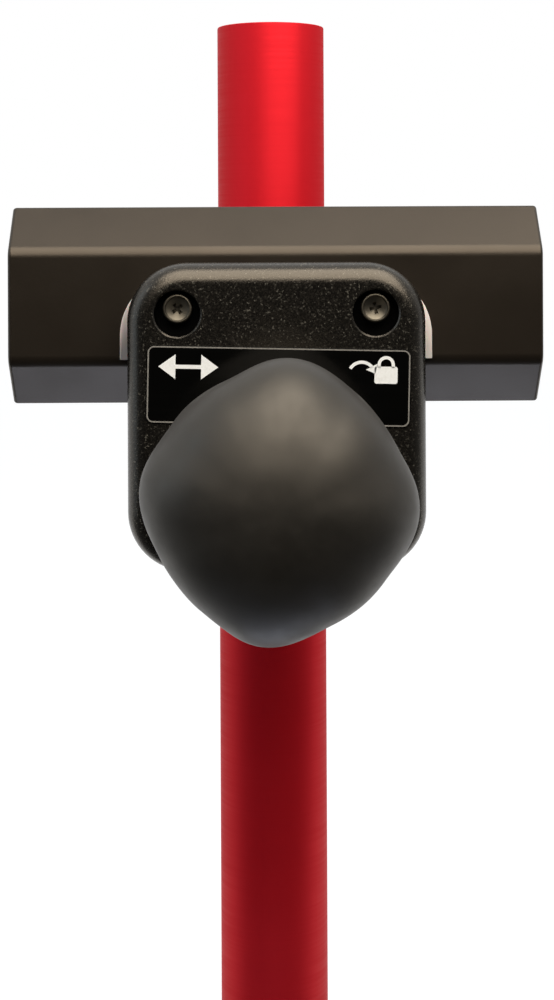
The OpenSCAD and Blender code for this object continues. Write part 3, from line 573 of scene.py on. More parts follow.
@dataclass(frozen=True)
class Patchy(Finish):
    """A finish whose colour and gloss drift in soft patches, over a fine relief."""

    changed: Colour
    _: KW_ONLY
    patches: Waves = Waves(0.3, 5.0, 0.75)
    patched: Flat = (0.6, 0.78)
    drift: Waves = Waves(0.2, 3.0)
    swing: Flat = (-0.06, 0.08)
    relief: Waves = Waves(3.0)
    depth: float = 0.01

    def lay(self) -> Bench:
        """Lays out the patches, the drift in gloss and the relief.

        Returns:
            The bench with the finish's nodes.
        """
        bench = self.start()
        patches = bench.levels(bench.noise(self.patches), *self.patched)
        bench.tint(patches, self.base, self.changed)
        bench.roughen(bench.noise(self.drift), self.roughness, self.swing)
        bench.bump(bench.noise(self.relief), self.depth)
        return bench


@dataclass(frozen=True)
class AnodisedTube(Patchy):
    """Dyed, satin-anodised aluminium tube, polished round and round, with a few rub marks."""

    _: KW_ONLY
    metallic: float = 0.5
    roughness: float = 0.52
    gloss_tint: Colour = (0.75, 0.27, 0.29)
    patches: Waves = Waves(0.012, 3.0)
    patched: Flat = BROAD
    drift: Waves = Waves(1.4, 3.0, 0.6, Grain.ROUND_Z)
    swing: Flat = (-0.05, 0.06)
    relief: Waves = Waves(1.4, 3.0, 0.6, Grain.ROUND_Z)
    depth: float = 0.012
    rubs: Waves = Waves(0.5, 2.0, 0.5, Grain.ALONG_Z)
    rubbed: Flat = (0.6, 0.75)
    rub_depth: float = 0.006

    def lay(self) -> Bench:
        """Lays out the dye's drift, the polishing lines and the long rub marks.

        Returns:
            The bench with the finish's nodes.
        """
        bench = super().lay()
        bench.bump(bench.levels(bench.noise(self.rubs), *self.rubbed), self.rub_depth)
        return bench


@dataclass(frozen=True)
class PowderCoat(Finish):
    """Baked powder coat with a fine orange peel."""

    edge_colour_wear_and_highlight: Colour
    _: KW_ONLY
    roughness: float = 0.4
    drift: Waves = Waves(0.04, 3.0, 0.6)
    swing: Flat = (-0.03, 0.05)
    peel_mm: float = 0.9
    peel_depth: float = 0.012
    finer: float = 5.0

    def lay(self) -> Bench:
        """Lays out the peel, a drift in gloss, and outer edges a little brighter: rubbing wear
        together with a painted edge highlight.

        Returns:
            The bench with the finish's nodes.
        """
        bench = self.start()
        # painted edge highlight with rubbing wear: outer edges get the lighter colour
        bench.tint(bench.edges(), self.base, self.edge_colour_wear_and_highlight)
        bench.roughen(bench.noise(self.drift), self.roughness, self.swing)
        bench.bump(bench.noise(Waves(1 / self.peel_mm, 2.0)), self.peel_depth)
        bench.bump(bench.noise(Waves(self.finer / self.peel_mm, 1.0)),
                   self.peel_depth / self.finer)
        return bench


@dataclass(frozen=True)
class GrainedMoulding(Patchy):
    """Black moulded nylon with a spark-eroded grain, pale flecks painted in as glints, and
    glossier high spots.
    """

    _: KW_ONLY
    roughness: float = 0.24
    ior: float = 1.66
    gloss_tint: Colour = (1.0, 0.91, 0.78)
    # The pale flecks are painted glints: bright spots in the base colour that stand in for light
    # caught by the grain's facets.
    patches: Waves = Waves(0.8 / 0.45, 2.5, 0.75)
    patched: Flat = (0.6, 0.72)
    drift: Waves = Waves(1 / 0.45, 3.0, 0.65)
    swing: Flat = (0.12, -0.08)
    relief: Waves = Waves(1 / 0.45, 3.0, 0.65)
    depth: float = 0.035


@dataclass(frozen=True)
class SoftTouch(Patchy):
    """Matt soft-touch rubber over a hard core, with a cloudy bloom and handling marks."""

    _: KW_ONLY
    roughness: float = 0.48
    ior: float = 1.66
    gloss_tint: Colour = (1.0, 0.94, 0.84)
    patches: Waves = Waves(0.06, 4.0, 0.55)
    patched: Flat = (0.35, 0.7)
    drift: Waves = Waves(0.18, 3.0, 0.6)
    swing: Flat = (-0.04, 0.05)
    depth: float = 0.006
    sheen: float = 0.03
    sheen_roughness: float = 0.4
    dents: Waves = Waves(0.1, 1.5)
    dent_depth: float = 0.15

    def lay(self) -> Bench:
        """Lays out the bloom, the marks, shallow dents and a velvet sheen at the rim.

        Returns:
            The bench with the finish's nodes.
        """
        bench = super().lay()
        bench.hold("Sheen Weight", self.sheen)
        bench.hold("Sheen Roughness", self.sheen_roughness)
        bench.bump(bench.noise(self.dents), self.dent_depth)
        return bench


@dataclass(frozen=True)
class GlossFilm(Finish):
    """Gloss black film, as on a printed label."""

    _: KW_ONLY
    roughness: float = 0.09
    gloss: float = 0.3
    wiping: Waves = Waves(0.6, 3.0, 0.6, Grain.ALONG_X)
    wiped: Flat = (0.4, 0.75)
    swing: Flat = (0.0, 0.1)
    ripple: Waves = Waves(0.15)
    ripple_depth: float = 0.01

    def lay(self) -> Bench:
        """Lays out a faint ripple and fine wiping marks in the gloss.

        Returns:
            The bench with the finish's nodes.
        """
        bench = self.start()
        bench.roughen(bench.noise(self.wiping), self.roughness, self.swing, self.wiped)
        bench.bump(bench.noise(self.ripple), self.ripple_depth)
        return bench


@dataclass(frozen=True)
class ScreenInk(Patchy):
    """Opaque screen-printed ink, slightly uneven in its cover, with a fine tooth."""

    _: KW_ONLY
    roughness: float = 0.5
    patches: Waves = Waves(2.2, 3.0, 0.7)
    patched: Flat = (0.45, 0.75)
    drift: Waves = Waves(4.0)
    swing: Flat = (-0.08, 0.1)
    relief: Waves = Waves(5.0)
    depth: float = 0.003


@dataclass(frozen=True)
class PaleNylon(Patchy):
    """Unfilled moulded nylon, a little milky, with fine machined lines."""

    _: KW_ONLY
    patches: Waves = Waves(0.08, 3.0)
    patched: Flat = (0.0, 1.0)
    drift: Waves = Waves(2.5, 2.0, 0.5, Grain.ROUND_Z)
    relief: Waves = Waves(2.5, 2.0, 0.5, Grain.ROUND_Z)
    milk: float = 0.15
    milk_reach: float = 2.0

    def lay(self) -> Bench:
        """Lays out the milky drift and the lines.

        Returns:
            The bench with the finish's nodes.
        """
        bench = super().lay()
        bench.hold("Subsurface Weight", self.milk)
        bench.hold("Subsurface Scale", self.milk_reach * MM)
        return bench


@dataclass(frozen=True)
class MattRubber(Patchy):
    """Moulded rubber with chalky wear and the mould's fine texture."""

    _: KW_ONLY
    roughness: float = 0.72
    patches: Waves = Waves(0.25, 5.0, 0.7)
    patched: Flat = (0.45, 0.75)
    drift: Waves = Waves(0.5, 3.0)
    swing: Flat = (-0.08, 0.1)
    relief: Waves = Waves(2.2, 3.0, 0.6)
    depth: float = 0.03


@dataclass(frozen=True)
class WorkedMetal(Patchy):
    """Bare or plated metal with a cloudy tarnish and the lines that its tool left."""

    _: KW_ONLY
    metallic: float = 1.0
    roughness: float = 0.3
    patches: Waves = Waves(0.15, 4.0, 0.6)
    patched: Flat = (0.35, 0.7)
    swing: Flat = (-0.06, 0.1)

    @classmethod
    def lined(cls, name: str, base: Colour, dull: Colour, grain: Grain,
              roughness: float = 0.3) -> "WorkedMetal":
        """Makes a metal finish whose lines run one way.

        Args:
            name: The finish's name.
            base: The bare metal's colour.
            dull: The tarnished metal's colour.
            grain: The way in which the lines run.
            roughness: How rough it is.

        Returns:
            The finish.
        """
        lines = Waves(3.0, 3.0, 0.6, grain)
        return cls(name, base, dull, roughness=roughness, drift=lines, relief=lines)


@dataclass(frozen=True)
class SmoothMoulding(Patchy):
    """Plain black moulded plastic with a satin face and light scuffs."""


@dataclass(frozen=True)
class GlowingPaper(Finish):
    """Pale floor paper that the camera sees as bright as the white round it."""

    glow: Colour
    _: KW_ONLY
    roughness: float = 0.9
    strength: float = 0.81
    fibre: Waves = Waves(0.4, 3.0)
    fibre_depth: float = 0.05

    def lay(self) -> Bench:
        """Lays out the paper's fibre, and its glow for what is seen directly.

        Returns:
            The bench with the finish's nodes.
        """
        bench = self.start()
        bench.bump(bench.noise(self.fibre), self.fibre_depth)
        share = combined(bench.tree, "MULTIPLY", seen_directly(bench.tree), self.strength)
        glow = bench.node("ShaderNodeEmission",
                          {"Color": (*self.glow, 1.0), "Strength": share})
        both = bench.node("ShaderNodeAddShader", {0: bench.shader.outputs["BSDF"],
                                                  1: glow.outputs["Emission"]})
        bench.tree.links.new(both.outputs["Shader"], bench.output.inputs["Surface"])
        return bench


RED_TUBE = AnodisedTube("red_anodised_tube", (0.62, 0.012, 0.022), (0.55, 0.008, 0.016))
JAW_COAT = PowderCoat("jaw_coat", (0.0115, 0.009, 0.0068), (0.018, 0.014, 0.011),
                      roughness=0.33, ior=1.56, gloss_tint=(1.0, 0.87, 0.72))
CAST_COAT = PowderCoat("casting_coat", (0.016, 0.016, 0.017), (0.05, 0.05, 0.052),
                       roughness=0.5, peel_mm=0.6, peel_depth=0.03)
LEVER_COAT = PowderCoat("lever_coat", (0.014, 0.014, 0.015), (0.06, 0.06, 0.062),
                        roughness=0.34, peel_mm=1.2, peel_depth=0.01)
# Its second colour is the pale, warm colour of the painted glints.
COVER_GRAIN_AND_GLINTS = GrainedMoulding("cover_grain_painted_glints", (0.0024, 0.0022, 0.0019), (0.14, 0.135, 0.117))
KNOB_RUBBER = SoftTouch("knob_soft_touch", (0.0042, 0.0038, 0.0032), (0.01, 0.009, 0.0078))
LABEL_FILM = GlossFilm("label_film", (0.001, 0.001, 0.0008))
SIGN_INK = ScreenInk("sign_ink", (0.88, 0.92, 0.94), (0.77, 0.80, 0.81))
BORDER_INK = ScreenInk("border_ink", (0.23, 0.225, 0.21), (0.13, 0.125, 0.115))
LINER_NYLON = PaleNylon("liner_nylon", (0.74, 0.69, 0.68), (0.66, 0.61, 0.59))
BUSH_NYLON = PaleNylon("bush_nylon", (0.76, 0.74, 0.69), (0.70, 0.67, 0.60))
PAD_RUBBER = MattRubber("pad_rubber", (0.014, 0.014, 0.014), (0.04, 0.039, 0.037))
STEEL_HUES = ((0.56, 0.55, 0.53), (0.46, 0.45, 0.43))
BRONZE_HUES = ((0.52, 0.33, 0.15), (0.38, 0.24, 0.11))
ARM_METAL = WorkedMetal.lined("arm_metal", (0.60, 0.60, 0.61), (0.50, 0.50, 0.52),
                              Grain.ROUND_Y, 0.34)
SLIDE_METAL = WorkedMetal.lined("slide_metal", (0.68, 0.68, 0.69), (0.60, 0.60, 0.61),
                                Grain.ALONG_Y, 0.26)
BRONZE = WorkedMetal.lined("bronze", *BRONZE_HUES, Grain.ROUND_Y)
CAM_BRONZE = WorkedMetal.lined("cam_bronze", *BRONZE_HUES, Grain.ROUND_X)
BRIGHT_STEEL = WorkedMetal.lined("bright_steel", *STEEL_HUES, Grain.ROUND_Y, 0.24)
ROD_STEEL = WorkedMetal.lined("rod_steel", *STEEL_HUES, Grain.ROUND_X, 0.24)
BLACK_BOLT = WorkedMetal.lined("black_bolt", (0.06, 0.058, 0.056), (0.04, 0.038, 0.036),
                               Grain.ROUND_Z, 0.38)
DARK_SCREW = WorkedMetal.lined("dark_screw", (0.17, 0.155, 0.125), (0.11, 0.10, 0.08),
                               Grain.ROUND_Y, 0.4)
PLAIN_BLACK = SmoothMoulding("plain_black", (0.018, 0.018, 0.018), (0.06, 0.06, 0.06))
# Painted shade: a near-black, barely glossy finish for the insides of the screw recesses,
# standing in for the shade that falls there.
RECESS_PAINTED_SHADE = SmoothMoulding("recess_painted_shade", (0.0006, 0.0006, 0.0006), (0.002, 0.002, 0.002),
                              gloss=0.08)


FLOOR_PAPER = GlowingPaper("floor_paper", (0.24, 0.24, 0.24), (0.98, 0.99, 1.0))


# ---------------------------------------------------------------- sub-assemblies


@dataclass
class SubAssembly:
    """A group of pieces that are made and dressed together."""

    easing: EdgeEasing

    def finish_node(self, node: str, finish: Finish, edge: Edge) -> None:
        """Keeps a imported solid, breaks its edges and puts a finish on it.

        Args:
            node: The solid's name.
            finish: The finish that it gets.
            edge: How wide its broken edges are.
        """
        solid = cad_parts[node]
        finish.dress(solid)
        self.easing.apply(solid, edge)
        log.info("%s: packed solid, %s", node, finish.name)

    def place(self, piece: bpy.types.Object, body: str, node: str, finish: Finish) -> None:
        """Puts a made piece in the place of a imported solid.

        Args:
            piece: The made piece.
            body: The body that it rides on.
            node: The solid that it stands for.
            finish: The finish that it gets.
        """
        finish.dress(piece)
        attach(piece, body)
        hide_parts(node)
        log.info("%s: %d faces, %s", piece.name, len(piece.data.polygons), finish.name)

    def build(self) -> None:
        """Makes and dresses every piece of the group."""
        raise NotImplementedError


@dataclass
class Post(SubAssembly):
    """The red post with its plug and its guide bush."""

    def build(self) -> None:
        """Dresses the post's three pieces."""
        self.finish_node("post_tube", RED_TUBE, Edge.BROKEN)
        self.finish_node("post_plug", PLAIN_BLACK, Edge.BROKEN)
        self.finish_node("post_foot_bush", BUSH_NYLON, Edge.BROKEN)


@dataclass
class Collar(SubAssembly):
    """The split collar with its bush, the arm and the arm's screws."""

    def build(self) -> None:
        """Dresses the collar and the arm."""
        self.finish_node("collar_body", CAST_COAT, Edge.CAST)
        self.finish_node("collar_bush", BUSH_NYLON, Edge.EASED)
        self.finish_node("arm_tube", ARM_METAL, Edge.BROKEN)
        self.finish_node("arm_mouth_ring", BUSH_NYLON, Edge.BROKEN)
        self.finish_node("arm_screws", BLACK_BOLT, Edge.FINE)
        self.finish_node("rear_saddle", CAST_COAT, Edge.CAST)
        self.finish_node("saddle_screw", BLACK_BOLT, Edge.FINE)


@dataclass
class QuickRelease(SubAssembly):
    """The lever, rod, nut and washer that clamp the collar."""

    def build(self) -> None:
        """Dresses the quick release."""
        self.finish_node("clamp_rod", ROD_STEEL, Edge.EASED)
        self.finish_node("rod_nut", BLACK_BOLT, Edge.EASED)
        self.finish_node("cam_washer", CAM_BRONZE, Edge.FINE)
        self.finish_node("lever_pin", ROD_STEEL, Edge.EASED)
        self.finish_node("cam_lever", LEVER_COAT, Edge.HANDLED)


class Side(Enum):
    """Which of the two jaws a piece belongs to."""

    FRONT = ("front", "carriage", -159.0, 1.0)
    REAR = ("rear", "head", -64.0, -1.0)

    @property
    def word(self) -> str:
        """The side's word, as in its nodes' names."""
        return self.value[0]

    @property
    def body(self) -> str:
        """The body that the jaw rides on."""
        return self.value[1]

    def y(self, depth: float) -> float:
        """Where a depth behind the jaw's outer face is along Y."""
        return self.value[2] + self.value[3] * depth


@dataclass
class Jaw(SubAssembly):
    """A hollow jaw bar with its caps, bolts, pad and pad screws."""

    side: Side = Side.FRONT
    length: float = 130.0
    height: float = 48.5
    face_height: float = 27.0
    chamfer: float = 10.75
    depth: float = 24.0
    wall: float = 3.5
    centre_z: float = 332.0
    knee_radius: float = 4.2
    back_radius: float = 1.0
    least_radius: float = 0.3
    corner_steps: int = 6
    end_rounding: float = 0.9
    end_steps: int = 4
    pad_length: float = 124.0
    pad_height: float = 36.0
    pad_depth: float = 8.0
    pad_foot: float = 0.3
    pad_lip: float = 1.2
    pad_steps: int = 5
    pad_ends: tuple[Flat, ...] = ((0.0, 1.2), (0.2, 0.6), (0.6, 0.2), (1.2, 0.0))
    groove_radius: float = 24.0
    groove_depth: float = 3.0
    groove_steps: int = 16
    pad_screw_x: float = 42.0
    pad_hole_radius: float = 4.15
    pad_hole_depth: float = 2.4

    def outline(self, shrink: float) -> list[Flat]:
        """Gives the bar's section, as depth and height, with all of its walls moved in.

        Args:
            shrink: How far the walls are moved in.

        Returns:
            The section with rounded corners.
        """
        rise = (self.height - self.face_height) / 2
        slope = math.hypot(self.chamfer, rise)
        face = self.face_height / 2 - shrink * (slope - rise) / self.chamfer
        knee = self.chamfer + shrink * (slope - self.chamfer) / rise
        top, back = self.height / 2 - shrink, self.depth - shrink
        corners = [(shrink, -face), (shrink, face), (knee, top), (back, top), (back, -top),
                   (knee, -top)]
        radii = [max(radius - shrink, self.least_radius)
                 for radius in [self.knee_radius] * 2 + [self.back_radius] * 4]
        return rounded(corners, radii, self.corner_steps)

    def section(self, x: float, shrink: float) -> list[Point]:
        """Puts the bar's section at one place along X."""
        return [(x, self.side.y(d), self.centre_z + h) for d, h in self.outline(shrink)]

    def bar(self) -> bpy.types.Object:
        """Makes the hollow bar with rounded ends.

        Returns:
            The bar.
        """
        shape = Shape(f"{self.side.word}_jaw_bar")
        end = self.length / 2
        left = [(-end + self.end_rounding * (1 - math.sin(t)),
                 self.end_rounding * (1 - math.cos(t)))
                for t in reversed(quarter_turn(self.end_steps))]
        stations = left + [(-x, shrink) for x, shrink in reversed(left)]
        stations += [(end, self.wall), (-end, self.wall)]
        shape.skin([self.section(x, shrink) for x, shrink in stations], closed=True)
        piece = shape.build()
        weigh_normals(piece)
        return piece

    def pad_outline(self) -> list[Flat]:
        """Gives the pad's section, as depth and height, with the groove in its face.

        Returns:
            The section with soft corners.
        """
        front, tall = self.depth + self.pad_depth, self.pad_height / 2
        reach = math.sqrt(2 * self.groove_radius * self.groove_depth - self.groove_depth ** 2)
        groove = []
        for k in range(self.groove_steps + 1):
            v = -reach + 2 * reach * k / self.groove_steps
            sink = self.groove_depth - (self.groove_radius
                                        - math.sqrt(self.groove_radius ** 2 - v * v))
            groove.append((front - sink, v))
        corners = rounded(
            [(self.depth, -tall), (front, -tall), (front, tall), (self.depth, tall)],
            [self.pad_foot, self.pad_lip, self.pad_lip, self.pad_foot], self.pad_steps)
        lower = 2 * (self.pad_steps + 1)
        return corners[:lower] + groove + corners[lower:]

    def pad_section(self, x: float, shrink: float) -> list[Point]:
        """Puts the pad's section at one place along X.

        Args:
            x: The place.
            shrink: How far the section's face and edges are drawn in there.

        Returns:
            The section's points.
        """
        face, tall = self.depth + self.pad_depth - shrink, self.pad_height / 2
        middle = self.depth + self.pad_depth / 2
        scale = (tall - shrink) / tall
        return [(x, self.side.y(min(d, face) if d > middle else d), self.centre_z + v * scale)
                for d, v in self.pad_outline()]

    def pad(self) -> bpy.types.Object:
        """Makes the rubber pad with its groove, soft edges and screw pockets.

        Returns:
            The pad.
        """
        shape = Shape(f"{self.side.word}_jaw_pad")
        stations = [(far - self.pad_length / 2, shrink) for far, shrink in self.pad_ends]
        stations += [(-x, shrink) for x, shrink in reversed(stations)]
        shape.loft([self.pad_section(x, shrink) for x, shrink in stations])
        piece = shape.build()
        front = self.depth + self.pad_depth
        floor = self.side.y(front - self.groove_depth - self.pad_hole_depth)
        hole = [(floor, self.pad_hole_radius),
                (self.side.y(front + TOOL_REACH), self.pad_hole_radius)]
        carve(piece, [turned("pocket", hole, x, self.centre_z, sides=48)
                      for x in (-self.pad_screw_x, self.pad_screw_x)])
        weigh_normals(piece)
        return piece

    def build(self) -> None:
        """Makes the bar and the pad, and dresses the caps and the bolts."""
        word, body = self.side.word, self.side.body
        self.place(self.bar(), body, f"{word}_jaw", JAW_COAT)
        self.place(self.pad(), body, f"{word}_pad", PAD_RUBBER)
        self.finish_node(f"{word}_jaw_caps", PLAIN_BLACK, Edge.SOFT)
        self.finish_node(f"{word}_jaw_bolts", BLACK_BOLT, Edge.EASED)
        self.finish_node(f"{word}_pad_screws", BLACK_BOLT, Edge.FINE)


@dataclass
class Cover(SubAssembly):
    """The grained cover on the carriage's front, with its screws and its liner."""

    width: float = 70.6
    height: float = 72.8
    centre_z: float = 306.2
    face_y: float = CARRIAGE_FACE_Y
    seat_y: float = -160.5
    corner: float = 14.0
    fillet: float = 5.0
    fillet_steps: int = 10
    wall: float = 3.0
    screw_x: float = 23.3
    screw_z: float = 331.9
    recess_z: float = 330.8
    recess_radius: float = 5.45
    recess_depth: float = 4.6
    recess_rim: float = 0.35
    boss_wall: float = 2.0
    boss_root: float = 0.5
    hole_radius: float = 2.15
    lower_x: float = 25.5
    lower_z: float = 279.8
    lower_boss: float = 5.0
    lower_depth: float = 7.5
    bush_hole: float = 8.1
    head_radius: float = 3.5
    head_height: float = 3.0
    head_break: float = 0.2
    head_form: tuple[Flat, ...] = ((0.45, 0.0), (0.2, 0.07), (0.06, 0.24), (0.0, 0.45),
                                   (0.05, 0.62), (0.3, 0.72), (0.42, 0.9), (0.85, 3.25))
    shank_radius: float = 2.0
    shank_length: float = 16.0
    point_radius: float = 1.6
    point_length: float = 0.6
    cross_turns: Flat = (38.0, 12.0)
    blade: tuple[Point, ...] = ((-0.2, 3.5, 1.0), (2.0, 1.6, 0.5))

    def plate_ring(self, y: float, inset: float) -> list[Point]:
        """Puts the cover's outline at one place along Y.

        Args:
            y: The place.
            inset: How far the outline is moved in.

        Returns:
            The outline's points.
        """
        outline = rounded_rectangle(self.width - 2 * inset, self.height - 2 * inset,
                                    self.corner - inset)
        return [(x, y, self.centre_z + z) for x, z in outline]

    def bosses(self) -> list[bpy.types.Object]:
        """Makes the four screw bosses behind the cover's face.

        Returns:
            The bosses.
        """
        root = self.face_y + self.wall - self.boss_root
        return [turned("boss", [(root, radius), (self.seat_y, radius)], x, z)
                for across, z, radius in (
                    (self.screw_x, self.recess_z, self.recess_radius + self.boss_wall),
                    (self.lower_x, self.lower_z, self.lower_boss))
                for x in (-across, across)]

    def cuts(self) -> list[bpy.types.Object]:
        """Makes the tools that cut the recesses, the screw holes and the bush's hole.

        Returns:
            The tools.
        """
        tools = []
        for x in (-self.screw_x, self.screw_x):
            recess = [(self.face_y - TOOL_REACH,
                       self.recess_radius + self.recess_rim + TOOL_REACH),
                      (self.face_y + self.recess_rim, self.recess_radius),
                      (self.face_y + self.recess_depth, self.recess_radius)]
            tools.append(turned("recess", recess, x, self.recess_z))
            tools.append(self.hole(self.face_y + TOOL_REACH, x, self.screw_z))
        for x in (-self.lower_x, self.lower_x):
            tools.append(self.hole(self.seat_y - self.lower_depth, x, self.lower_z))
        bush = [(self.face_y - TOOL_REACH, self.bush_hole),
                (self.face_y + self.wall + TOOL_REACH, self.bush_hole)]
        return [*tools, turned("bush_hole", bush, 0.0, SPINDLE_Z)]

    def hole(self, start: float, x: float, z: float) -> bpy.types.Object:
        """Makes the tool for one screw's hole, from a place along Y to the cover's back."""
        end = self.seat_y + TOOL_REACH
        return turned("hole", [(start, self.hole_radius), (end, self.hole_radius)], x, z)

    def shell(self) -> bpy.types.Object:
        """Makes the cover with its rounded rim, screw bosses and recesses.

        Returns:
            The cover.
        """
        shape = Shape("cover_shell")
        rings = [self.plate_ring(self.seat_y, self.wall), self.plate_ring(self.seat_y, 0.0)]
        rings += [self.plate_ring(self.face_y + self.fillet * (1 - math.sin(t)),
                                  self.fillet * (1 - math.cos(t)))
                  for t in quarter_turn(self.fillet_steps)]
        made = shape.skin(rings)
        shape.cap(made[-1])
        floor = shape.ring(self.plate_ring(self.face_y + self.wall, self.wall))
        shape.bridge(floor, made[0])
        shape.cap(floor)
        piece = shape.build()
        carve(piece, self.cuts(), self.bosses(), crease=25.0)
        weigh_normals(piece)
        return piece

    def paint_recess_shade(self, shell: bpy.types.Object) -> None:
        """Paints shade into the insides of the two screw recesses with a near-black, barely
        glossy finish.

        Args:
            shell: The cover.
        """
        shell.data.materials.append(RECESS_PAINTED_SHADE.material())
        for face in shell.data.polygons:
            x, y, z = face.center / MM
            off = min(math.hypot(x - side, z - self.recess_z)
                      for side in (-self.screw_x, self.screw_x))
            if off < self.recess_radius + TOUCH and y > self.face_y + self.recess_rim:
                # painted shade: this face lies inside a screw recess
                face.material_index = 1

    def screws(self) -> bpy.types.Object:
        """Makes the two cheese-head screws, each with a dish and a cross.

        Returns:
            The screws, as one piece.
        """
        shape = Shape("cover_screw_pair")
        seat = self.face_y + self.recess_depth
        top = seat - self.head_height
        tip = seat + self.shank_length
        profile = [(tip, self.point_radius), (tip - self.point_length, self.shank_radius),
                   (seat, self.shank_radius), (seat, self.head_radius - self.head_break),
                   (seat - self.head_break, self.head_radius)]
        profile += [(top + down, self.head_radius - inward) for down, inward in self.head_form]
        for x in (-self.screw_x, self.screw_x):
            shape.lathe(profile, x, self.screw_z)
        piece = shape.build(crease=40.0)
        tools = [self.cross_tool(x, top, turn + quarter)
                 for x, turn in zip((-self.screw_x, self.screw_x), self.cross_turns)
                 for quarter in (0.0, 90.0)]
        carve(piece, tools, crease=40.0)
        return piece

    def cross_tool(self, x: float, top: float, turn: float) -> bpy.types.Object:
        """Makes one tapered blade of the cross in a screw's head.

        Args:
            x: The screw's place, left to right.
            top: The top of its head along Y.
            turn: The blade's turn in degrees.

        Returns:
            The blade as a tool for cutting.
        """
        shape = Shape("blade")
        spin = math.radians(turn)
        rings = []
        for down, length, width in self.blade:
            sides = [(u * length / 2, v * width / 2)
                     for u, v in ((-1, -1), (1, -1), (1, 1), (-1, 1))]
            rings.append([(x + a * math.cos(spin) - b * math.sin(spin), top + down,
                           self.screw_z + a * math.sin(spin) + b * math.cos(spin))
                          for a, b in sides])
        shape.loft(rings)
        return shape.build()

    def build(self) -> None:
        """Makes the cover and its screws, and dresses what is behind them."""
        shell = self.shell()
        self.place(shell, "carriage", "cover", COVER_GRAIN_AND_GLINTS)
        # paints shade into the two screw recesses
        self.paint_recess_shade(shell)
        self.place(self.screws(), "carriage", "cover_screws", DARK_SCREW)
        self.finish_node("lower_cover_screws", BLACK_BOLT, Edge.FINE)
        self.finish_node("liner", LINER_NYLON, Edge.EASED)
        self.finish_node("carriage_block", CAST_COAT, Edge.CAST)
        self.finish_node("slide_tube", SLIDE_METAL, Edge.EASED)
        self.finish_node("guide_key", BRIGHT_STEEL, Edge.FINE)
        self.finish_node("tube_screw", BLACK_BOLT, Edge.FINE)


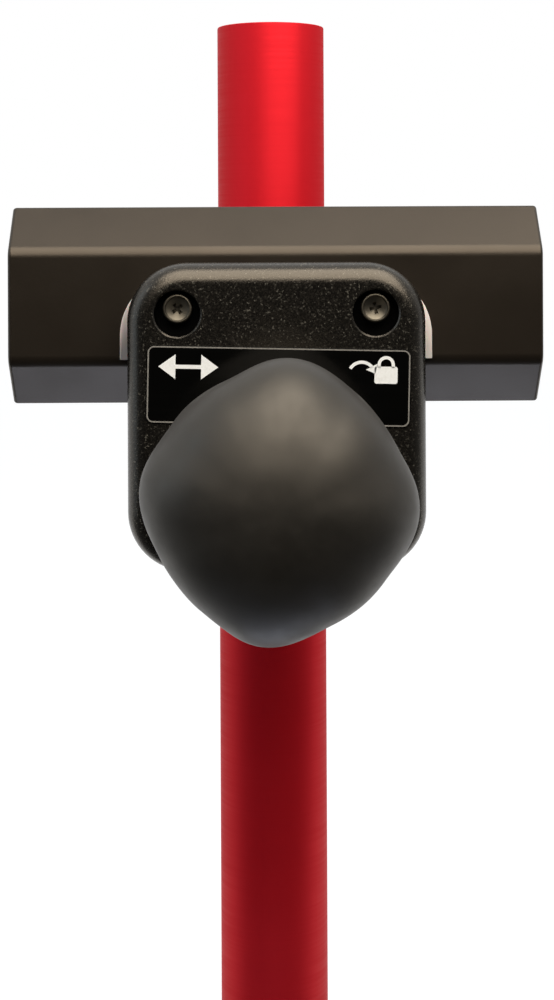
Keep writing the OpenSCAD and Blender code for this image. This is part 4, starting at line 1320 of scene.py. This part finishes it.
@dataclass
class Label(SubAssembly):
    """The gloss label with its border and its two signs."""

    width: float = 62.0
    height: float = 18.4
    thickness: float = 0.3
    corner: float = 1.8
    corner_steps: int = 10
    rim_form: tuple[Flat, ...] = ((0.3, 0.0), (0.08, 0.0), (0.02, 0.03), (0.0, 0.1))
    centre_x: float = 0.4
    centre_z: float = 313.7
    face_y: float = CARRIAGE_FACE_Y
    tilt: float = 1.3
    lip_radius: float = 10.25
    border_inset: float = 0.25
    border_width: float = 0.32
    ink: float = 0.03
    border_ink: float = 0.018
    ink_root: float = 0.01
    stroke: float = 0.75
    arc_steps: int = 28
    sign_v: float = 4.2
    arrow_u: float = -21.2
    arrow_half: float = 7.0
    arrow_head: float = 4.0
    arrow_barb: float = 2.9
    arrow_shaft: float = 0.465
    padlock_u: float = 25.1
    lock_size: Flat = (5.4, 4.0)
    lock_corner: float = 0.5
    lock_drop: float = 1.15
    arch_rise: float = 1.3
    arch_radius: float = 1.65
    leg_rise: float = 0.6
    turn_u: float = 19.4
    turn_drop: float = 1.3
    turn_radius: float = 3.1
    turn_sweep: Flat = (150.0, 40.0)
    tip_sweep: Flat = (42.0, 8.0)
    tip_half: float = 1.5
    tip_out: float = 0.1

    def spot(self, u: float, v: float, level: float) -> Point:
        """Turns a place on the label into a point in the frame.

        Args:
            u: How far right of the label's middle it is.
            v: How far above the label's middle it is.
            level: How far it stands out of the cover's face.

        Returns:
            The point in the frame.
        """
        t = math.radians(self.tilt)
        return (self.centre_x + u * math.cos(t) + v * math.sin(t), self.face_y - level,
                self.centre_z - u * math.sin(t) + v * math.cos(t))

    def rim(self, inset: float, level: float) -> list[Point]:
        """Puts the label's outline at one level.

        Args:
            inset: How far the outline is moved in.
            level: How far it stands out of the cover's face.

        Returns:
            The outline's points.
        """
        outline = rounded_rectangle(self.width - 2 * inset, self.height - 2 * inset,
                                    self.corner - inset, self.corner_steps)
        return [self.spot(u, v, level) for u, v in outline]

    def clear_lip(self, piece: bpy.types.Object) -> None:
        """Cuts a piece back round the lip of the spindle's bush.

        Args:
            piece: The piece to cut.
        """
        lip = [(self.face_y - 2 * TOOL_REACH, self.lip_radius),
               (self.face_y + TOOL_REACH, self.lip_radius)]
        carve(piece, [turned("lip", lip, 0.0, SPINDLE_Z)])

    def film(self) -> bpy.types.Object:
        """Makes the film with a rounded rim, cut out round the bush's lip.

        Returns:
            The film.
        """
        shape = Shape("label_film")
        shape.loft([self.rim(inset, self.thickness - down) for down, inset in self.rim_form])
        piece = shape.build()
        self.clear_lip(piece)
        weigh_normals(piece)
        return piece

    def border(self) -> bpy.types.Object:
        """Makes the thin printed line just inside the label's rim.

        Returns:
            The line.
        """
        shape = Shape("label_border")
        outer, inner = self.border_inset, self.border_inset + self.border_width
        low, high = self.thickness - self.ink_root, self.thickness + self.border_ink
        shape.skin([self.rim(inset, level) for inset, level in (
            (outer, low), (outer, high), (inner, high), (inner, low))], closed=True)
        piece = shape.build()
        self.clear_lip(piece)
        return piece

    def printed(self, name: str, outlines: Sequence[Sequence[Flat]]) -> bpy.types.Object:
        """Prints some flat outlines as one piece of raised ink.

        Args:
            name: The piece's name.
            outlines: The outlines, on the label.

        Returns:
            The ink.
        """
        shape = Shape(name)
        for outline in outlines:
            shape.loft([[self.spot(u, v, self.thickness + level) for u, v in outline]
                        for level in (-self.ink_root, self.ink)])
        return shape.build()

    def arc_band(self, u: float, v: float, radius: float, sweep: Flat) -> list[Flat]:
        """Gives a curved stroke about a point.

        Args:
            u: The point's place to the right.
            v: The point's place upwards.
            radius: The radius to the middle of the stroke.
            sweep: Where the stroke starts and ends, in degrees from the right.

        Returns:
            The stroke's outline.
        """
        turns = [math.radians(sweep[0] + (sweep[1] - sweep[0]) * k / self.arc_steps)
                 for k in range(self.arc_steps + 1)]
        return [(u + r * math.cos(t), v + r * math.sin(t))
                for r, row in ((radius + self.stroke / 2, turns),
                               (radius - self.stroke / 2, turns[::-1])) for t in row]

    def double_arrow(self) -> list[Flat]:
        """Gives the sign for sliding: an arrow with a head at each end.

        Returns:
            The arrow's outline.
        """
        u, v, barb, shaft = self.arrow_u, self.sign_v, self.arrow_barb, self.arrow_shaft
        left, right = u - self.arrow_half, u + self.arrow_half
        near, far = left + self.arrow_head, right - self.arrow_head
        return [(left, v), (near, v + barb), (near, v + shaft), (far, v + shaft),
                (far, v + barb), (right, v), (far, v - barb), (far, v - shaft),
                (near, v - shaft), (near, v - barb)]

    def padlock(self) -> list[list[Flat]]:
        """Gives the closed padlock of the sign for locking.

        Returns:
            The outlines of its body, its arch and its two legs.
        """
        u, v, half = self.padlock_u, self.sign_v, self.stroke / 2
        body = [(u + x, v - self.lock_drop + y)
                for x, y in rounded_rectangle(*self.lock_size, self.lock_corner, steps=5)]
        top, foot = v + self.arch_rise, v + self.leg_rise
        arch = self.arc_band(u, top, self.arch_radius, (0.0, 180.0))
        legs = [[(x - half, foot), (x + half, foot), (x + half, top), (x - half, top)]
                for x in (u - self.arch_radius, u + self.arch_radius)]
        return [body, arch, *legs]

    def turn_arrow(self) -> list[list[Flat]]:
        """Gives the quarter-turn arrow of the sign for locking.

        Returns:
            The outlines of its sweep and its head.
        """
        middle = Vector((self.turn_u, self.sign_v - self.turn_drop))
        root, tip = (middle + radius * Vector((math.cos(t), math.sin(t)))
                     for radius, t in zip((self.turn_radius, self.turn_radius + self.tip_out),
                                          map(math.radians, self.tip_sweep)))
        across = (tip - root).normalized().orthogonal() * self.tip_half
        sweep = self.arc_band(*middle, self.turn_radius, self.turn_sweep)
        return [sweep, [tuple(root + across), tuple(tip), tuple(root - across)]]

    def build(self) -> None:
        """Makes the label's film, border and signs."""
        self.place(self.film(), "carriage", "label", LABEL_FILM)
        signs = {"slide_sign": [self.double_arrow()],
                 "lock_sign": [*self.padlock(), *self.turn_arrow()]}
        printed = [(self.border(), BORDER_INK)]
        printed += [(self.printed(name, outlines), SIGN_INK) for name, outlines in signs.items()]
        for piece, finish in printed:
            finish.dress(piece)
            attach(piece, "carriage")
            log.info("%s: %s", piece.name, finish.name)


@dataclass
class Lock(SubAssembly):
    """The spindle and the pieces that it works."""

    def build(self) -> None:
        """Dresses the lock's pieces."""
        for node in ("spindle_bush", "front_thrust_washer", "rear_thrust_washer", "wedge_nut",
                     "brake_shoe"):
            self.finish_node(node, BRONZE, Edge.FINE)
        for node in ("spindle", "stop_pins", "spring_washer", "drive_pin"):
            self.finish_node(node, BRIGHT_STEEL, Edge.FINE)


@dataclass
class Knob(SubAssembly):
    """The lobed soft-touch knob and its hard core."""

    length: float = 55.0
    lobe_radius: float = 30.5
    hollow_radius: float = 28.2
    lobe_half: float = 31.0
    oval: float = 0.35
    base_radius: float = 19.0
    belly: float = 34.0
    phase: float = -6.0
    core_radius: float = 9.0
    core_length: float = 38.0
    disc_radius: float = 16.0
    disc_depth: float = 3.0
    base_y: float = -176.7
    base_edge: float = 0.8
    edge_steps: int = 4
    base_fullness: float = 1.2
    crown_fullness: float = 2.2
    lobe_lean: float = 1.3
    dent: float = 0.45
    dent_mm: float = 13.0
    dent_rise: float = 4.0
    sides: int = 240
    rings: int = 110

    def swell(self, share: float) -> float:
        """Gives the radius without lobes.

        Args:
            share: The place along the knob, as a share of its length.

        Returns:
            The radius, as a part of the widest one.
        """
        belly = self.belly / self.length
        if share < belly:
            base = self.base_radius / self.hollow_radius
            rise = math.sin(math.pi / 2 * share / belly) ** self.base_fullness
            return base + (1 - base) * rise
        return math.sqrt(max(0.0, 1 - ((share - belly) / (1 - belly)) ** self.crown_fullness))

    def lobe_share(self, share: float) -> float:
        """Gives how far the lobes stand out at a share of the length, from 0 to 1."""
        reach = min(1.0, share * self.length / (2 * self.belly))
        return math.sin(math.pi * reach ** self.lobe_lean)

    def lobe_form(self, turn: float) -> float:
        """Gives a lobe's form, from 0 beside it to 1 on its crest, turn degrees round."""
        off = abs((turn + 45) % 90 - 45)
        return math.cos(math.pi / 2 * off / self.lobe_half) ** 2 if off < self.lobe_half else 0.0

    def handling(self, share: float, angle: float) -> float:
        """Gives how uneven the soft skin is by use.

        Args:
            share: The place along the knob, as a share of its length.
            angle: The place round it.

        Returns:
            How far the skin stands out there, or is pressed in.
        """
        place = Vector((self.hollow_radius * math.cos(angle), share * self.length,
                        self.hollow_radius * math.sin(angle)))
        return self.dent * noise.noise(place / self.dent_mm) * min(1.0, self.dent_rise * share)

    def radius(self, share: float, angle: float) -> float:
        """Gives the knob's radius.

        Args:
            share: The place along the knob, as a share of its length.
            angle: The place round it.

        Returns:
            The radius with the lobes, the slight oval and the uneven skin.
        """
        turn = math.degrees(angle) - 90 - self.phase
        lobes = ((self.lobe_radius - self.hollow_radius) * self.lobe_form(turn)
                 + self.oval * math.cos(2 * math.radians(turn)))
        return self.swell(share) * (self.hollow_radius + self.handling(share, angle)
                                    + lobes * self.lobe_share(share))

    def ring(self, share: float, shrink: float = 0.0) -> list[Point]:
        """Puts the knob's outline at one place along it.

        Args:
            share: The place, as a share of its length.
            shrink: How far the outline is drawn in.

        Returns:
            The outline's points.
        """
        points = []
        for k in range(self.sides):
            angle = math.tau * k / self.sides
            r = self.radius(share, angle) - shrink
            points.append((r * math.cos(angle), self.base_y - share * self.length,
                           SPINDLE_Z + r * math.sin(angle)))
        return points

    def circle(self, y: float, r: float) -> list[Point]:
        """Puts a plain circle at one place along Y."""
        turns = [math.tau * k / self.sides for k in range(self.sides)]
        return [(r * math.cos(a), y, SPINDLE_Z + r * math.sin(a)) for a in turns]

    def dome(self) -> list[list[Point]]:
        """Gives the rings of the grip's outside, from its base to near its tip.

        Returns:
            The rings.
        """
        rings = []
        for t in quarter_turn(self.edge_steps)[1:-1]:
            share = self.base_edge * (1 - math.cos(t)) / self.length
            rings.append(self.ring(share, self.base_edge * (1 - math.sin(t))))
        first, belly = self.base_edge / self.length, self.belly / self.length
        for i in range(self.rings):
            t = i / self.rings
            share = (first + (belly - first) * 2 * t if t < 0.5
                     else belly + (1 - belly) * math.sin(math.pi / 2 * (2 * t - 1)))
            rings.append(self.ring(share))
        return rings

    def grip(self) -> bpy.types.Object:
        """Makes the soft skin: the lobed dome outside, the core's place inside.

        Returns:
            The skin.
        """
        shape = Shape("knob_soft_grip")
        step = self.base_y - self.disc_depth
        profile = [(self.base_y - self.core_length, self.core_radius), (step, self.core_radius),
                   (step, self.disc_radius), (self.base_y, self.disc_radius),
                   (self.base_y, self.base_radius - self.base_edge)]
        made = shape.skin([self.circle(y, r) for y, r in profile] + self.dome())
        shape.cap(made[0])
        shape.fan(made[-1], (0.0, self.base_y - self.length, SPINDLE_Z))
        return shape.build(crease=50.0)

    def build(self) -> None:
        """Makes the grip and dresses the core."""
        self.place(self.grip(), "knob", "knob_grip", KNOB_RUBBER)
        self.finish_node("knob_core", PLAIN_BLACK, Edge.BROKEN)


# ---------------------------------------------------------------- studio


@dataclass(frozen=True)
class Softbox:
    """A soft lamp that looks at the clamp."""

    name: str
    at: Point
    size: Flat
    power: float
    colour: Colour
    target: Point = (0.0, -160.0, 320.0)

    def hang(self) -> None:
        """Hangs the lamp."""
        data = bpy.data.lights.new(self.name, "AREA")
        data.shape = "RECTANGLE"
        data.size, data.size_y = self.size[0] * MM, self.size[1] * MM
        data.energy = self.power
        data.color = self.colour
        lamp = bpy.data.objects.new(self.name, data)
        lamp.location = Vector(self.at) * MM
        aim = (Vector(self.target) - Vector(self.at)).normalized()
        lamp.rotation_euler = aim.to_track_quat("-Z", "Y").to_euler()
        bpy.context.scene.collection.objects.link(lamp)


@dataclass
class Studio:
    """The pale floor, the white surroundings, the lamps and the camera."""

    lens: float = 65.5
    sensor: float = 36.0
    seen: Flat = (10.0, 50000.0)
    camera_at: Point = (-3.9, -599.9, 347.5)
    camera_drop: float = -0.06
    camera_turn: float = 0.55
    camera_roll: float = -0.26
    rise: float = -0.26
    paper_size: float = 6000.0
    paper_front: float = -30.0
    dark_dip: float = 35.0
    backdrop_edge: float = 0.6
    room: tuple[Flat, ...] = ((0.0, 0.02), (0.1, 0.04), (0.3, 0.12), (0.45, 0.3),
                               (0.55, 0.55), (1.0, 0.9))

    def camera(self) -> None:
        """Sets up the camera in front of the knob."""
        data = bpy.data.cameras.new("viewpoint")
        data.lens = self.lens
        data.sensor_width = self.sensor
        data.shift_y = self.rise
        data.clip_start, data.clip_end = (reach * MM for reach in self.seen)
        view = bpy.data.objects.new("viewpoint", data)
        view.location = Vector(self.camera_at) * MM
        look = Euler((math.radians(90 - self.camera_drop), 0.0,
                      math.radians(-self.camera_turn))).to_matrix()
        roll = Euler((0.0, 0.0, math.radians(self.camera_roll))).to_matrix()
        view.rotation_euler = (look @ roll).to_euler()
        bpy.context.scene.collection.objects.link(view)
        bpy.context.scene.camera = view

    def floor(self) -> None:
        """Lays the sheet of pale paper that the post stands on."""
        shape = Shape("studio_floor")
        wide, front = self.paper_size, self.paper_front
        shape.cap(shape.ring([(-wide, front, 0.0), (wide, front, 0.0), (wide, wide, 0.0),
                              (-wide, wide, 0.0)]))
        piece = shape.build()
        FLOOR_PAPER.dress(piece)

    def surroundings(self) -> None:
        """Makes the white surroundings, with a dark room on the side that the knob faces."""
        world = bpy.data.worlds.new("studio_world")
        world.use_nodes = True
        bpy.context.scene.world = world
        tree = world.node_tree
        tree.nodes.clear()
        place = wired(tree, "ShaderNodeTexCoord", {}).outputs["Generated"]
        dip = math.radians(self.dark_dip)
        away = wired(tree, "ShaderNodeVectorMath",
                     {0: place, 1: (0.0, math.cos(dip), math.sin(dip))},
                     operation="DOT_PRODUCT").outputs["Value"]
        across = wired(tree, "ShaderNodeMapRange",
                       {"From Min": -1.0, "From Max": 1.0, "Value": away}).outputs["Result"]
        ramp = wired(tree, "ShaderNodeValToRGB", {"Fac": across})
        stops = ramp.color_ramp.elements
        while len(stops) < len(self.room):
            stops.new(0.5)
        for stop, (at, level) in zip(stops, self.room):
            stop.position = at
            stop.color = (level, level, level, 1.0)
        room = wired(tree, "ShaderNodeBackground", {"Color": ramp.outputs["Color"]})
        white = wired(tree, "ShaderNodeBackground", {"Color": (1.0, 1.0, 1.0, 1.0)})
        behind = wired(tree, "ShaderNodeMapRange", {
            "From Min": self.backdrop_edge, "From Max": 1.0, "Value": away}).outputs["Result"]
        pick = wired(tree, "ShaderNodeMixShader", {
            "Fac": seen_directly(tree, behind), 1: room.outputs["Background"],
            2: white.outputs["Background"]})
        wired(tree, "ShaderNodeOutputWorld", {"Surface": pick.outputs["Shader"]})

    def lamps(self) -> None:
        """Hangs the lamps: a warm one overhead in front, and weak ones to fill in."""
        for lamp in (
            Softbox("overhead_box", (130.0, -700.0, 1120.0), (1300.0, 1100.0), 20.5,
                    (1.0, 0.9, 0.77)),
            Softbox("left_box", (-900.0, -350.0, 600.0), (500.0, 900.0), 1.1,
                    (0.7, 0.85, 1.0)),
            Softbox("low_card", (0.0, -60.0, -300.0), (380.0, 130.0), 0.64,
                    (0.76, 0.82, 1.0), (0.0, -120.0, 312.0)),
        ):
            lamp.hang()

    def build(self) -> None:
        """Sets up the whole studio."""
        self.camera()
        self.floor()
        self.surroundings()
        self.lamps()
        bpy.context.scene.view_settings.view_transform = "Standard"


def main() -> None:
    """Makes and dresses every sub-assembly, and sets up the studio."""
    logging.basicConfig(level=logging.INFO, format="%(name)s: %(message)s")
    easing = EdgeEasing()
    for group in (Post(easing), Collar(easing), QuickRelease(easing), Jaw(easing, Side.REAR),
                  Jaw(easing, Side.FRONT), Cover(easing), Label(easing), Lock(easing),
                  Knob(easing)):
        group.build()
        log.info("%s is done", type(group).__name__)
    Studio().build()


if __name__ == "__main__":
    main()
